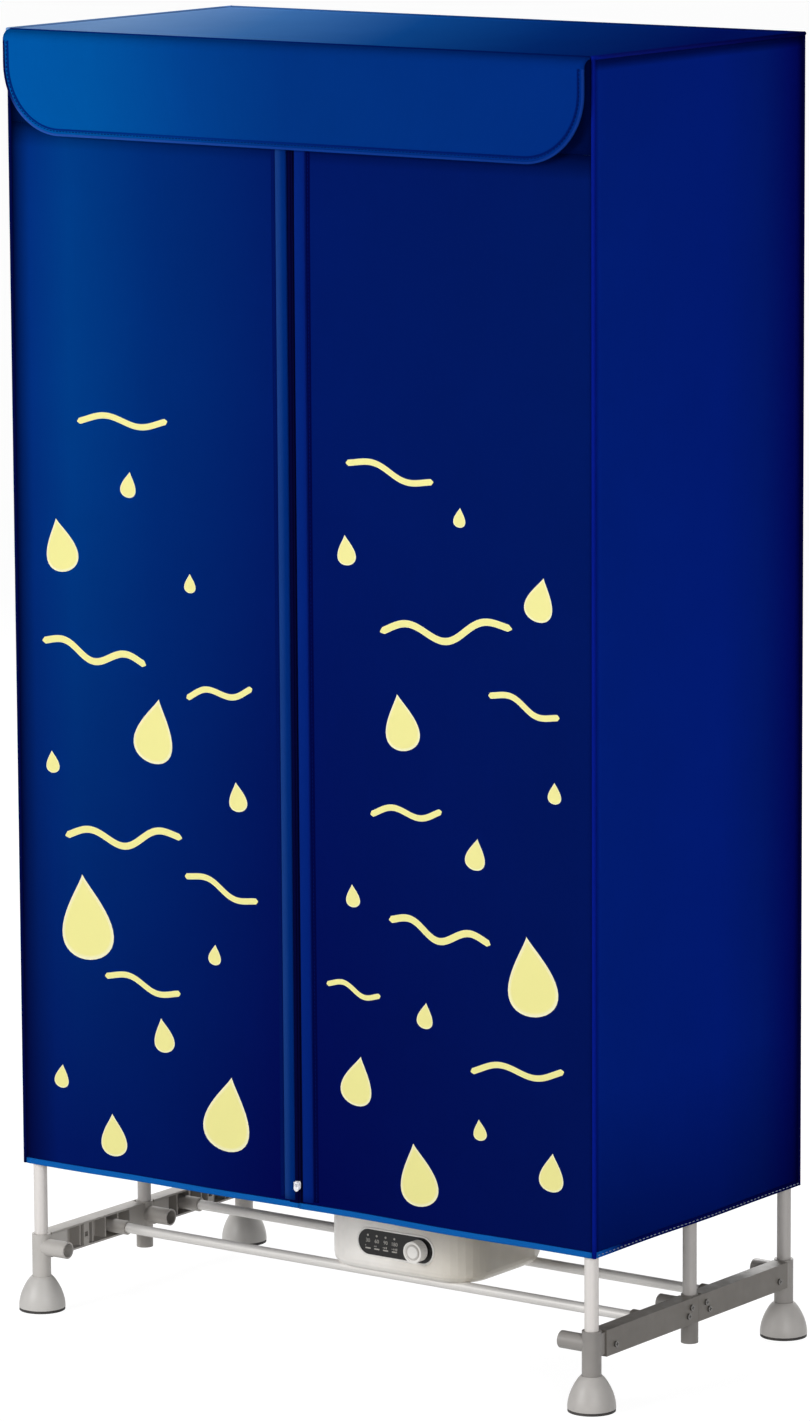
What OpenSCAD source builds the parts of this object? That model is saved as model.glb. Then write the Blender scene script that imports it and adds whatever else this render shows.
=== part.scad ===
// Two-tier heated clothes drying cabinet: a tube frame on bell feet, a zipped cloth cover with a
// front flap, and a fan heater that rests on two rails under the open bottom of the cover.
// Millimetres. X is the width, the front faces -Y, Z is up. The origin is on the floor, at the
// centre of the four feet.

/* [Frame] */
// Distance between the left and right corner tubes, axis to axis
leg_span_x = 780; // [700:5:900]
// Distance between the front and rear corner tubes, axis to axis
leg_span_y = 392; // [360:4:460]
// Height from the floor to the top of the cover's piping
total_h = 1500; // [1300:10:1700]
// Height of the middle tier's hanging rods
mid_z = 800; // [700:10:850]
// Outside diameter of the upright tubes and the hanging rods
tube_d = 16; // [14:0.5:17]
// Wall of every metal tube
tube_wall = 1; // [0.8:0.1:1.4]
// Radial clearance between a tube and its socket
socket_clear = 0.15; // [0.1:0.05:0.3]
// Wall of the plastic tube sockets
socket_wall = 2.85; // [2.5:0.05:3.5]
// Wall of the slimmer sockets on the hubs and of the side stubs
hub_wall = 1.8; // [1.5:0.1:2.4]

/* [Feet] */
// Height of a foot, with its pad
foot_h = 40; // [36:1:46]
// Largest diameter of a foot
foot_d = 54.6; // [48:0.2:60]
// Wall of a foot
foot_wall = 2.6; // [2:0.1:3.4]
// Height of the tube socket's floor inside a foot
foot_floor_z = 14; // [11:1:17]
// Curve of a foot's side, from full (0.5) to straight (1)
foot_curve = 0.8; // [0.6:0.05:1]
// Thickness of the rubber pad under a foot
pad_t = 3; // [2:0.5:5]
// Width of the ring that holds a pad in its foot
pad_ring_w = 3.5; // [2.5:0.5:5]

/* [Base frame] */
// Height of the side arms' centre line
arm_z = 75.5; // [72:0.5:82]
// Height of a side arm
arm_h = 30; // [27:1:34]
// Reach of a side arm's flanges, inwards from the uprights' axis
arm_in = 7; // [5:0.5:9]
// Wall of a side arm
arm_wall = 2.2; // [1.8:0.1:2.8]
// Length of the tongue that joins an arm to a corner or a hub
lug_len = 28; // [24:1:34]
// Spacing of the stiffening ribs in an arm
rib_pitch = 24; // [18:1:32]
// Height of the top of a corner socket
corner_top_z = 91; // [90:1:110]
// Height of the floor that an upright stands on in its socket
socket_floor_z = 48; // [44:1:54]
// Height of the lower end of a hub
hub_low_z = 35; // [28:1:40]
// Length of a side stub, from the upright's axis to its open end
stub_len = 40; // [35:1:60]
// Depth of a side stub's bore
stub_bore_len = 24; // [16:1:25]
// Diameter of a base rail
rail_d = 12; // [10:0.5:13]
// Distance between the two base rails
rail_span = 140; // [120:2:150]
// Reach of a base rail's socket, from the upright's axis
rail_boss_len = 30; // [24:1:40]
// Wall of a base rail's socket
rail_boss_wall = 2.2; // [1.8:0.1:3]
// Side of the square latch hole in an arm
latch_hole = 6; // [4:0.5:8]
// Distance of the latch hole from the middle of the side
latch_y = 120; // [110:1:130]

/* [Tiers] */
// Height of a tier's tube sockets
tier_socket_h = 50; // [42:1:60]
// Height of a tier's side beam
tier_beam_h = 26; // [22:1:32]
// Depth of a tier's side beam
tier_beam_t = 14; // [12:0.5:16]
// Distance between the two hanging rods of a tier
rod_span = 180; // [150:2:220]
// Distance of the top rods below the top of the frame
rod_drop = 28; // [26:1:40]
// Reach of a hanging rod's socket, from the upright's axis
rod_boss_len = 34; // [28:1:44]
// Thickness of the stop inside a tier's tube sockets
tier_stop_t = 4; // [3:0.5:6]

/* [Screws] */
// Diameter of a screw's shank
screw_d = 3.5; // [3:0.1:4]
// Diameter of a screw's head
screw_head_d = 7; // [6:0.1:7.6]
// Height of a screw's head
screw_head_h = 2.2; // [1.8:0.1:2.6]
// Length of a screw's shank
screw_len = 10; // [8:0.5:11]
// Distance in height between the two screws at a hub
screw_pair = 9; // [8:0.5:10]
// Distance along the arm between the two screws at a hub
screw_stagger = 6; // [0:0.5:8]
// Distance of the nearer hub screw from the hub's axis
hub_screw_y = 15; // [13:0.5:20]
// Distance of the corner screw from the corner upright's axis
corner_screw_y = 29; // [22:0.5:32]
// Distance of the corner screw below the arm's centre line
corner_screw_drop = 4; // [0:0.5:6]

/* [Cover] */
// Thickness of the cover's cloth
cloth_t = 1.2; // [0.8:0.1:1.6]
// Height of the cover's lower edge above the floor
hem_z = 177; // [150:1:220]
// Width of the binding along the lower edge
hem_w = 7; // [5:0.5:14]
// Diameter of the piping along the cover's edges
piping_d = 5; // [4:0.2:6]
// Height of the front flap
flap_h = 117; // [80:1:160]
// Radius of the flap's lower corners
flap_r = 79; // [40:1:79]
// Distance of the flap in front of the doors
flap_gap = 12; // [8:0.5:14]
// Distance of each end of the flap from the side of the cover
flap_side = 3.5; // [3:0.5:12]
// Thickness of the flap, which is two layers
flap_t = 2.4; // [1.8:0.1:3.2]
// Height of the slot between the flap and the top of the doors
door_drop = 7; // [4:0.5:12]

/* [Zip] */
// Place of the zip, left or right of the middle
zip_x = -3.5; // [-40:0.5:40]
// Width of the gap between the two welts
zip_w = 11.5; // [11:0.5:18]
// Width of the welt on each side of the zip
welt_w = 15; // [8:0.5:18]
// Height by which a welt stands out from its door
welt_t = 2.4; // [1.5:0.1:3]
// Thickness of the zip's tape
tape_t = 0.8; // [0.5:0.1:1]
// Width by which a tape lies behind its door
tape_lap = 8; // [5:0.5:16]
// Width of one row of the zip's coil
coil_w = 2.6; // [2.2:0.1:3]
// Thickness of the zip's coil
coil_t = 2; // [1.6:0.1:2.4]
// Gap between the two rows, in which the slider's blade runs
coil_gap = 1; // [0.9:0.1:1.4]
// Height of the slider's middle when the zip is shut
slider_z = 204.6; // [200:0.2:230]
// Height of the slider
slider_h = 10; // [9:1:18]
// Thickness of the slider's plates
slider_t = 1.2; // [1:0.1:1.4]
// Width of the slider's pull
pull_w = 7; // [5:0.5:9]
// Length of the slider's pull
pull_len = 10; // [9.5:0.5:20]
// Diameter of the pull's pin
pull_pin_d = 1.6; // [1.4:0.1:2]
// Length of the open fork between the pull's pin and its tab
pull_fork = 4.8; // [4.6:0.2:6]
// Thickness of the pull
pull_t = 1.6; // [1.4:0.1:2]
// Reach of the slider's bail, in front of its plate
bail_out = 4.2; // [4:0.1:5]
// Width of the slider's bail
bail_w = 3.6; // [3:0.1:4.2]

/* [Heater] */
// Width of the heater
unit_w = 212; // [190:1:240]
// Depth of the heater
unit_d = 195; // [180:1:220]
// Height of the heater
unit_h = 116; // [112:1:140]
// Place of the heater's middle, right of the cabinet's middle
unit_x = 41; // [-20:1:60]
// Place of the heater's middle, behind the cabinet's middle
unit_y = 8.5; // [4:0.5:10]
// Radius of the heater's front corners
unit_r_front = 45; // [36:1:50]
// Radius of the heater's rear corners
unit_r_rear = 75; // [50:1:80]
// Wall of the heater's shells
unit_wall = 2.5; // [2:0.1:3]
// Radius of the heater's lower edge
unit_fillet = 12; // [9:1:14]
// Radius of the heater's upper edge
unit_top_fillet = 10; // [7:1:14]
// Height of the lower shell
base_shell_h = 72; // [66:1:78]
// Depth to which the base rails sink into the heater's underside
rail_sink = 2.3; // [1.5:0.1:3.5]
// Thickness of plastic above each rail groove
groove_wall = 2.2; // [2:0.1:3]
// Diameter of the warm air outlet
outlet_d = 132; // [126:1:138]
// Width of a ring of the outlet grille, whose spokes are half as wide
grille_bar = 3; // [2.5:0.1:4]
// Thickness of the outlet grille
grille_t = 3; // [2:0.5:4]
// Number of rings in the outlet grille
grille_rings = 5; // [4:1:6]
// Number of spokes in the outlet grille
grille_spokes = 12; // [8:1:16]
// Number of air slots in the heater's underside, counting those that the motor's foot takes up
inlet_slots = 11; // [7:2:11]
// Spacing of the air slots
inlet_pitch = 8; // [7:0.5:8.5]
// Width of an air slot
inlet_w = 5; // [4:0.5:5.5]
// Diameter of the round field of air slots
inlet_d = 108; // [100:1:116]
// Distance of the case's screws from the side of the heater
case_screw_inset = 22; // [18:1:26]
// Distance of the case's screws from the rails
case_screw_gap = 18; // [15:1:22]
// Depth to which the upper shell's lip reaches into the lower shell
lip_h = 4; // [3:0.5:5]
// Diameter of the cord bush
gland_d = 14; // [12:0.5:16]
// Bore of the cord bush
gland_bore_d = 7.2; // [6:0.2:9]
// Thickness of the cord bush's flange
gland_flange_t = 3; // [2:0.5:4]
// Height of the cord bush above the heater's underside
gland_h = 30; // [24:1:40]

/* [Control panel] */
// Distance of the control panel from the heater's left side
panel_inset = 57; // [52:1:60]
// Width of the control panel
panel_w = 106; // [100:1:112]
// Height of the control panel
panel_h = 31; // [29:1:34]
// Thickness of the control panel
panel_t = 2; // [1.6:0.1:2.4]
// Height of the control panel's middle
panel_z = 115.5; // [114:0.5:119]
// Distance of the control panel's face in front of the heater
panel_proud = 0.3; // [0:0.1:0.8]
// Width of the ledge that the control panel lies on
panel_ledge = 3.5; // [2.5:0.5:4.5]
// Distance of the knob's axis from the panel's right end
knob_inset = 19; // [16:0.5:22]
// Diameter of the knob
knob_d = 25; // [20:0.5:28]
// Height of the knob
knob_h = 13; // [10:0.5:16]
// Number of flutes round the knob
knob_flutes = 24; // [16:2:30]
// Diameter of a flute
flute_d = 2; // [1.4:0.1:2.4]
// Width of the groove round the knob's face
knob_groove_w = 2; // [1:0.5:3]
// Thickness of the knob's face over its bore
knob_cap_t = 3; // [2.5:0.5:4]
// Travel of the knob when it is pressed
knob_travel = 0.8; // [0.5:0.1:1.2]
// Diameter of the knob's shaft
shaft_d = 6; // [5:0.5:7]
// Width of the control board
board_w = 94; // [86:1:98]
// Height of the control board
board_h = 27; // [25:1:29]
// Thickness of the control board
board_t = 1.6; // [1.2:0.2:2]
// Width of the encoder's housing
encoder_w = 13; // [11:0.5:14]
// Distance from the panel's pocket to the control board
board_back = 9; // [8:0.5:12]

/* [Fan and heater core] */
// Distance of the fan behind the heater's middle
fan_back = 8; // [6:1:9]
// Diameter of the fan over its blades
fan_d = 118; // [108:1:120]
// Height of the fan's blades
fan_h = 18; // [14:1:20]
// Distance from the motor to the fan
fan_gap = 4; // [3:0.5:5]
// Gap between the fan's blades and their tunnel
fan_tip_gap = 2.5; // [2:0.5:3]
// Number of fan blades
fan_blades = 7; // [5:1:9]
// Thickness of a fan blade
blade_t = 1.6; // [1.2:0.1:2.4]
// Tilt of the fan blades, in degrees
blade_tilt = 35; // [25:1:40]
// Diameter of the fan's hub
fan_hub_d = 40; // [34:1:46]
// Diameter of the motor
motor_d = 48; // [40:1:54]
// Height of the motor
motor_h = 26; // [22:1:28]
// Height of the motor above the heater's floor
motor_lift = 8; // [6:0.5:9]
// Diameter of the foot that the motor stands on
motor_foot_d = 26; // [18:1:27]
// Diameter of the motor's shaft
motor_shaft_d = 5; // [4:0.5:6]
// Width of the heater core
core_w = 108; // [90:1:110]
// Depth of the heater core
core_d = 56; // [44:1:60]
// Height of the heater core
core_h = 22; // [18:1:24]
// Distance from the fan to the heater core
core_gap = 8; // [5:1:9]
// Width of an end block of the heater core
core_block = 8; // [6:0.5:10]
// Width of a rail of the heater core
core_rail = 4; // [3:0.5:5]
// Number of spaces between the fins of the heater core
core_spaces = 22; // [14:1:24]
// Thickness of a fin
fin_t = 1.2; // [0.8:0.1:1.6]
// Diameter of the thermal cut-out
cutout_d = 14; // [10:1:16]
// Thickness of the thermal cut-out
cutout_t = 5; // [4:0.5:7]

/* [Hidden] */
$fn = 64;

// Clearances
seat_gap = 0.3;      // between a piece and its seat
run_clear = 0.05;    // radial, round a turning shaft
hole_clear = 0.1;    // radial, round a screw
swing_gap = 0.15;    // between two cloth edges that part

// Frame
leg_x = leg_span_x / 2;
leg_y = leg_span_y / 2;
tube_bore_d = tube_d + 2 * socket_clear;
sleeve_d = tube_bore_d + 2 * socket_wall;
hub_d = tube_bore_d + 2 * hub_wall;
SIDES = [-1, 1];

// Feet
foot_bore_d = sleeve_d + 2 * socket_clear;
foot_neck_wall = 1;
foot_neck_d = foot_bore_d + 2 * foot_neck_wall;
foot_steps = 12;

// Base frame
arm_out = hub_d / 2 + seat_gap + arm_wall;
lug_t = hub_d / 2 + arm_in;
lug_h = arm_h - 2 * arm_wall - 2 * seat_gap;
arm_end_y = leg_y - sleeve_d / 2 - seat_gap;
arm_start_y = hub_d / 2 + seat_gap;
stub_d = tube_bore_d + 2 * hub_wall;
rail_y = rail_span / 2;
rail_top_z = arm_z + rail_d / 2;

// Cover, worked outwards from the sockets that it is drawn over
cover_x = leg_x + sleeve_d / 2 + seat_gap + cloth_t;
cover_y = leg_y + sleeve_d / 2 + seat_gap + cloth_t;
piping_x = cover_x - cloth_t / 2;
piping_y = cover_y - cloth_t / 2;
piping_z = total_h - piping_d / 2;
top_face_z = piping_z + cloth_t / 2;
edge_gap = piping_d / 2 + swing_gap;
flap_low_z = top_face_z - flap_h;
door_top_z = flap_low_z - door_drop;

// Tiers
rod_y = rod_span / 2;
top_frame_z = top_face_z - cloth_t - seat_gap;
top_socket_z = piping_z - piping_d / 2 - seat_gap;

// Zip
coil_y = -cover_y + cloth_t - coil_t;
tape_y = -cover_y + cloth_t + swing_gap;
slider_back_y = tape_y + tape_t + swing_gap;
slider_front_y = coil_y - swing_gap - slider_t;
slider_w = coil_gap + 2 * coil_w + 2 * swing_gap + 2 * slider_t;
bail_wall = 1;
bail_h = pull_pin_d + 2 * bail_wall;
pull_pivot_y = slider_front_y - bail_out + bail_h / 2;
pull_pivot_z = slider_z + slider_h / 2 - bail_h / 2;

// Heater
unit_z = rail_top_z + seat_gap - rail_sink;
split_z = unit_z + base_shell_h;
unit_x0 = unit_x - unit_w / 2;
unit_x1 = unit_x + unit_w / 2;
unit_y0 = unit_y - unit_d / 2;
unit_y1 = unit_y + unit_d / 2;
unit_top_z = unit_z + unit_h;
floor_z = unit_z + unit_wall;
shell_steps = 4;
case_screw_z = split_z - 2 * lip_h;
case_seat_z = split_z - lip_h - seat_gap;
grille_clear = 0.4;
cord_x = unit_x;
cord_z = unit_z + gland_h;

// Control panel
panel_x = unit_x0 + panel_inset + panel_w / 2;
panel_face_y = unit_y0 - panel_proud;
pocket_y = panel_face_y + panel_t + seat_gap;
pocket_wall = 2;
pocket_rim = 3;
knob_x = panel_x + panel_w / 2 - knob_inset;
knob_gap = 0.8;
knob_back_y = panel_face_y - knob_travel - knob_gap;
shaft_hole_gap = 0.6;
board_y = pocket_y + board_back;
shaft_front_y = knob_back_y - knob_h + knob_cap_t + 1;
shaft_back_y = board_y - 3;
// Blocks on the board: place from the panel's middle, width, height, thickness, and -1 for front
BOARD_BLOCKS = [[-23, 30, 14, 4, -1], [-20, 19, 16, 12, 1], [8, 16, 18, 9, 1]];

// Fan and heater core
fan_x = unit_x;
fan_y = unit_y + fan_back;
motor_z = floor_z + motor_lift;
motor_base_t = 4;
motor_cap_h = 2;
shaft_r = motor_shaft_d / 2;
fan_z = motor_z + motor_h + fan_gap;
core_z = fan_z + fan_h + core_gap;
tunnel_d = fan_d + 2 * fan_tip_gap;
tunnel_z0 = fan_z - fan_gap + 1;

// ---------------------------------------------------------------- Feet

function foot_r(u) = foot_neck_d / 2 + (foot_d - foot_neck_d) / 2 * pow(max(cos(90 * u), 0), foot_curve);
function foot_level(u) = pad_t + seat_gap + (foot_h - pad_t - seat_gap) * u;

// A bell-shaped shell with a blind socket for the corner sleeve
module foot_shape() {
    boss_r = foot_bore_d / 2 + foot_wall;
    hollow = [for (i = [0:foot_steps]) let (u = i / foot_steps)
        if (foot_r(u) - foot_wall > boss_r + 1) [foot_r(u) - foot_wall, foot_level(u)]];
    roof_z = hollow[len(hollow) - 1][1];
    color("silver") rotate_extrude() polygon(concat(
        [for (i = [0:foot_steps]) [foot_r(i / foot_steps), foot_level(i / foot_steps)]],
        [[foot_bore_d / 2, foot_h], [foot_bore_d / 2, foot_floor_z], [0, foot_floor_z],
         [0, foot_floor_z - foot_wall], [boss_r, foot_floor_z - foot_wall], [boss_r, roof_z]],
        [for (i = [len(hollow) - 1:-1:0]) hollow[i]]));
}

module foot_front_left() { translate([-leg_x, -leg_y, 0]) foot_shape(); }
module foot_front_right() { translate([leg_x, -leg_y, 0]) foot_shape(); }
module foot_rear_left() { translate([-leg_x, leg_y, 0]) foot_shape(); }
module foot_rear_right() { translate([leg_x, leg_y, 0]) foot_shape(); }

// Rubber pads, each held in its foot by a ring
module foot_pads() {
    ring_r = foot_r(0.1) - foot_wall - seat_gap;
    color("dimgray")
    for (sx = SIDES, sy = SIDES) translate([sx * leg_x, sy * leg_y, 0]) {
        cylinder(d = foot_d - 2 * seat_gap, h = pad_t);
        translate([0, 0, pad_t]) difference() {
            cylinder(r = ring_r, h = pad_t);
            translate([0, 0, -1]) cylinder(r = ring_r - pad_ring_w, h = pad_t + 2);
        }
    }
}

// ---------------------------------------------------------------- Base frame
// The base pieces are drawn once, for the front left leg, with the cabinet's inside towards +X
// and its rear towards +Y, and mirrored to the other places.

module place(sx, sy) {
    translate([sx * leg_x, sy * leg_y, 0])
    mirror([sx > 0 ? 1 : 0, 0, 0]) mirror([0, sy > 0 ? 1 : 0, 0])
    children();
}

// Open socket that points into the cabinet, for a tube along X
module stub_solid() {
    translate([0, 0, arm_z]) rotate([0, 90, 0]) cylinder(d = stub_d, h = stub_len);
}

module stub_bore() {
    translate([stub_len - stub_bore_len, 0, arm_z]) rotate([0, 90, 0])
    cylinder(d = tube_bore_d, h = stub_bore_len + 1);
}

// Tongue that slides into the open side of an arm, along +Y
module lug(start) {
    translate([arm_in - lug_t, 0, arm_z - lug_h / 2]) cube([lug_t, start + lug_len, lug_h]);
}

// Pilot or clearance hole along X at distance y and height z
module screw_hole(y, z) {
    translate([-arm_out - 1, y, z]) rotate([0, 90, 0])
    cylinder(d = screw_d + 2 * hole_clear, h = screw_len + 2);
}

// Screws of one arm, from the corner's axis: one at the corner and two at the hub
SCREW_SPOTS = [
    [corner_screw_y, arm_z - corner_screw_drop],
    [leg_y - hub_screw_y, arm_z + screw_pair / 2],
    [leg_y - hub_screw_y - screw_stagger, arm_z - screw_pair / 2]
];

module corner_shape() {
    color("darkgray") difference() {
        union() {
            translate([0, 0, foot_floor_z + seat_gap])
            cylinder(d = sleeve_d, h = corner_top_z - foot_floor_z - seat_gap);
            stub_solid();
            lug(sleeve_d / 2);
        }
        translate([0, 0, socket_floor_z]) cylinder(d = tube_bore_d, h = corner_top_z);
        stub_bore();
        screw_hole(SCREW_SPOTS[0][0], SCREW_SPOTS[0][1]);
    }
}

module corner_front_left() { place(-1, -1) corner_shape(); }
module corner_front_right() { place(1, -1) corner_shape(); }
module corner_rear_left() { place(-1, 1) corner_shape(); }
module corner_rear_right() { place(1, 1) corner_shape(); }

// Half of a side beam: a channel that opens into the cabinet, with ribs, a rail socket and a
// latch block. Its web runs on over the face of the hub.
module arm_shape() {
    y0 = leg_y - arm_end_y;
    y1 = leg_y - arm_start_y;
    depth = arm_out + arm_in;
    boss_y = leg_y - rail_y;
    boss_r = rail_d / 2 + socket_clear + rail_boss_wall;
    block_y = leg_y - latch_y;
    block_w = latch_hole + 2 * arm_wall;
    rib_from = y0 + lug_len + arm_wall;
    rib_to = y1 - lug_len - 2 * arm_wall;
    color("darkgray") translate([-arm_out, 0, arm_z]) difference() {
        union() {
            translate([0, y0, -arm_h / 2]) cube([arm_wall, leg_y - y0 - swing_gap, arm_h]);
            for (z = [-arm_h / 2, arm_h / 2 - arm_wall]) translate([0, y0, z])
                cube([depth, y1 - y0, arm_wall]);
            for (y = [rib_from:rib_pitch:rib_to]) let (mid = y + arm_wall / 2)
                if (abs(mid - block_y) > block_w / 2 + arm_wall && abs(mid - boss_y) > boss_r + arm_wall)
                    translate([0, y, -arm_h / 2]) cube([depth - arm_wall, arm_wall, arm_h]);
            translate([0, boss_y, 0]) rotate([0, 90, 0]) cylinder(r = boss_r, h = arm_out + rail_boss_len);
            translate([0, block_y - block_w / 2, -arm_h / 2]) cube([depth, block_w, arm_h]);
        }
        translate([arm_wall, boss_y, 0]) rotate([0, 90, 0])
        cylinder(d = rail_d + 2 * socket_clear, h = depth + rail_boss_len);
        translate([arm_wall, block_y - latch_hole / 2, -latch_hole / 2])
        cube([depth, latch_hole, latch_hole]);
        translate([arm_out, 0, -arm_z]) for (s = SCREW_SPOTS) screw_hole(s[0], s[1]);
    }
}

module arm_front_left() { place(-1, -1) arm_shape(); }
module arm_front_right() { place(1, -1) arm_shape(); }
module arm_rear_left() { place(-1, 1) arm_shape(); }
module arm_rear_right() { place(1, 1) arm_shape(); }

// Socket in the middle of a side, with a tongue to each arm and a stub like the corners'
module hub_shape() {
    color("gray") difference() {
        union() {
            translate([0, 0, hub_low_z]) cylinder(d = hub_d, h = corner_top_z - hub_low_z);
            stub_solid();
            for (s = [0, 1]) mirror([0, s, 0]) lug(hub_d / 2);
        }
        translate([0, 0, socket_floor_z]) cylinder(d = tube_bore_d, h = corner_top_z);
        translate([0, 0, hub_low_z - 1])
        cylinder(d = tube_bore_d - 2 * tube_wall, h = socket_floor_z - hub_low_z - arm_wall + 1);
        stub_bore();
        for (s = [0, 1], spot = [1, 2]) mirror([0, s, 0])
            screw_hole(leg_y - SCREW_SPOTS[spot][0], SCREW_SPOTS[spot][1]);
    }
}

module hub_left() { translate([-leg_x, 0, 0]) hub_shape(); }
module hub_right() { translate([leg_x, 0, 0]) mirror([1, 0, 0]) hub_shape(); }

// A tapping screw along +X, with its head's underside at the origin
module screw_shape() {
    translate([-screw_head_h, 0, 0]) rotate([0, 90, 0]) difference() {
        cylinder(d = screw_head_d, h = screw_head_h);
        for (a = [0, 90]) rotate([0, 0, a])
            translate([-screw_head_d / 3, -0.5, -1]) cube([screw_head_d / 1.5, 1, 1 + screw_head_h / 2]);
    }
    rotate([0, 90, 0]) cylinder(d = screw_d, h = screw_len);
}

// The frame's and the heater case's screws, all alike
module screws() {
    color("dimgray") {
        for (sx = SIDES, sy = SIDES) place(sx, sy)
            for (s = SCREW_SPOTS) translate([-arm_out, s[0], s[1]]) screw_shape();
        for (spot = CASE_SCREWS) translate([spot[0], spot[1], case_screw_z]) rotate([0, -90, 0])
            screw_shape();
    }
}

// Tube along X between x = -reach and x = reach
module cross_tube(reach, d) {
    translate([-reach, 0, 0]) rotate([0, 90, 0]) difference() {
        cylinder(d = d, h = 2 * reach);
        translate([0, 0, -1]) cylinder(d = d - 2 * tube_wall, h = 2 * reach + 2);
    }
}

rail_reach = leg_x + arm_out - arm_wall - seat_gap;
module rail_front() { color("gainsboro") translate([0, -rail_y, arm_z]) cross_tube(rail_reach, rail_d); }
module rail_rear() { color("gainsboro") translate([0, rail_y, arm_z]) cross_tube(rail_reach, rail_d); }

// ---------------------------------------------------------------- Uprights and tiers

// Tube that stands between heights z0 and z1
module upright(z0, z1) {
    color("gainsboro") translate([0, 0, z0]) difference() {
        cylinder(d = tube_d, h = z1 - z0);
        translate([0, 0, -1]) cylinder(d = tube_d - 2 * tube_wall, h = z1 - z0 + 2);
    }
}

lower_z0 = socket_floor_z + seat_gap;
lower_z1 = mid_z - tier_stop_t / 2 - seat_gap;
upper_z0 = mid_z + tier_stop_t / 2 + seat_gap;
upper_z1 = top_socket_z - tier_stop_t - seat_gap;

module tube_front_left() { translate([-leg_x, -leg_y, 0]) upright(lower_z0, lower_z1); }
module tube_front_right() { translate([leg_x, -leg_y, 0]) upright(lower_z0, lower_z1); }
module tube_mid_left() { translate([-leg_x, 0, 0]) upright(lower_z0, lower_z1); }
module tube_mid_right() { translate([leg_x, 0, 0]) upright(lower_z0, lower_z1); }
module tube_rear_left() { translate([-leg_x, leg_y, 0]) upright(lower_z0, lower_z1); }
module tube_rear_right() { translate([leg_x, leg_y, 0]) upright(lower_z0, lower_z1); }

module upper_tubes() {
    for (sx = SIDES, sy = [-1, 0, 1]) translate([sx * leg_x, sy * leg_y, 0]) upright(upper_z0, upper_z1);
}

// Side beam of a tier, drawn for the left: three tube sockets and two rod sockets.
// beam_z is the beam's middle, z0 and z1 the ends of the sockets, stop_z the middle of the stop.
module tier_shape(beam_z, z0, z1, stop_z) {
    boss_d = tube_bore_d + 2 * socket_wall;
    color("darkgray") difference() {
        union() {
            for (y = [-leg_y, 0, leg_y]) translate([0, y, z0]) cylinder(d = sleeve_d, h = z1 - z0);
            difference() {
                translate([-tier_beam_t / 2, -leg_y, beam_z - tier_beam_h / 2])
                cube([tier_beam_t, 2 * leg_y, tier_beam_h]);
                for (s = SIDES) translate([arm_wall - tier_beam_t / 2,
                    s * leg_y / 2 - (leg_y - sleeve_d) / 2, beam_z - tier_beam_h / 2 + arm_wall])
                    cube([tier_beam_t, leg_y - sleeve_d, tier_beam_h - 2 * arm_wall]);
            }
            for (s = SIDES) translate([-tier_beam_t / 2, s * rod_y, beam_z]) rotate([0, 90, 0])
                cylinder(d = boss_d, h = tier_beam_t / 2 + rod_boss_len);
        }
        for (y = [-leg_y, 0, leg_y]) {
            translate([0, y, stop_z + tier_stop_t / 2]) cylinder(d = tube_bore_d, h = z1 - stop_z);
            translate([0, y, z0 - 1]) cylinder(d = tube_bore_d, h = stop_z - tier_stop_t / 2 - z0 + 1);
        }
        for (s = SIDES) translate([arm_wall - tier_beam_t / 2, s * rod_y, beam_z]) rotate([0, 90, 0])
            cylinder(d = tube_bore_d, h = tier_beam_t + rod_boss_len);
    }
}

module mid_frame_shape() {
    tier_shape(mid_z, mid_z - tier_socket_h / 2, mid_z + tier_socket_h / 2, mid_z);
}
top_rod_z = top_frame_z - rod_drop;
// The top sockets end below the cover's piping, and narrower caps on them carry its top
module top_frame_shape() {
    tier_shape(top_rod_z, top_socket_z - tier_socket_h, top_socket_z, top_socket_z - tier_stop_t / 2);
    color("darkgray") for (y = [-leg_y, 0, leg_y]) translate([0, y, top_socket_z - tier_stop_t])
        cylinder(d = tube_d, h = top_frame_z - top_socket_z + tier_stop_t);
}

module mid_frame_left() { translate([-leg_x, 0, 0]) mid_frame_shape(); }
module mid_frame_right() { translate([leg_x, 0, 0]) mirror([1, 0, 0]) mid_frame_shape(); }
module top_frame_left() { translate([-leg_x, 0, 0]) top_frame_shape(); }
module top_frame_right() { translate([leg_x, 0, 0]) mirror([1, 0, 0]) top_frame_shape(); }

rod_reach = leg_x + tier_beam_t / 2 - arm_wall - seat_gap;
module hanging_rod(y, z) { color("gainsboro") translate([0, y, z]) cross_tube(rod_reach, tube_d); }
module mid_rod_front() { hanging_rod(-rod_y, mid_z); }
module mid_rod_rear() { hanging_rod(rod_y, mid_z); }
module top_rod_front() { hanging_rod(-rod_y, top_rod_z); }
module top_rod_rear() { hanging_rod(rod_y, top_rod_z); }

// ---------------------------------------------------------------- Cover

panel_top_z = top_face_z - cloth_t - swing_gap;

module cover_top() {
    color("royalblue") translate([-piping_x + edge_gap, -cover_y, top_face_z - cloth_t])
    cube([2 * (piping_x - edge_gap), cover_y + piping_y - edge_gap, cloth_t]);
}

module cover_back() {
    color("navy") translate([-piping_x + edge_gap, 0, 0]) {
        translate([0, cover_y - cloth_t, hem_z])
        cube([2 * (piping_x - edge_gap), cloth_t, piping_z - edge_gap - hem_z]);
        translate([0, cover_y, hem_z]) cube([2 * (piping_x - edge_gap), cloth_t / 2, hem_w]);
    }
}

// Side panel, drawn for the left
module side_panel() {
    color("darkblue") translate([0, -piping_y + edge_gap, hem_z]) {
        translate([-cover_x, 0, 0]) cube([cloth_t, 2 * (piping_y - edge_gap), piping_z - edge_gap - hem_z]);
        translate([-cover_x - cloth_t / 2, 0, 0])
        cube([cloth_t / 2, 2 * (piping_y - edge_gap), hem_w]);
    }
}

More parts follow.
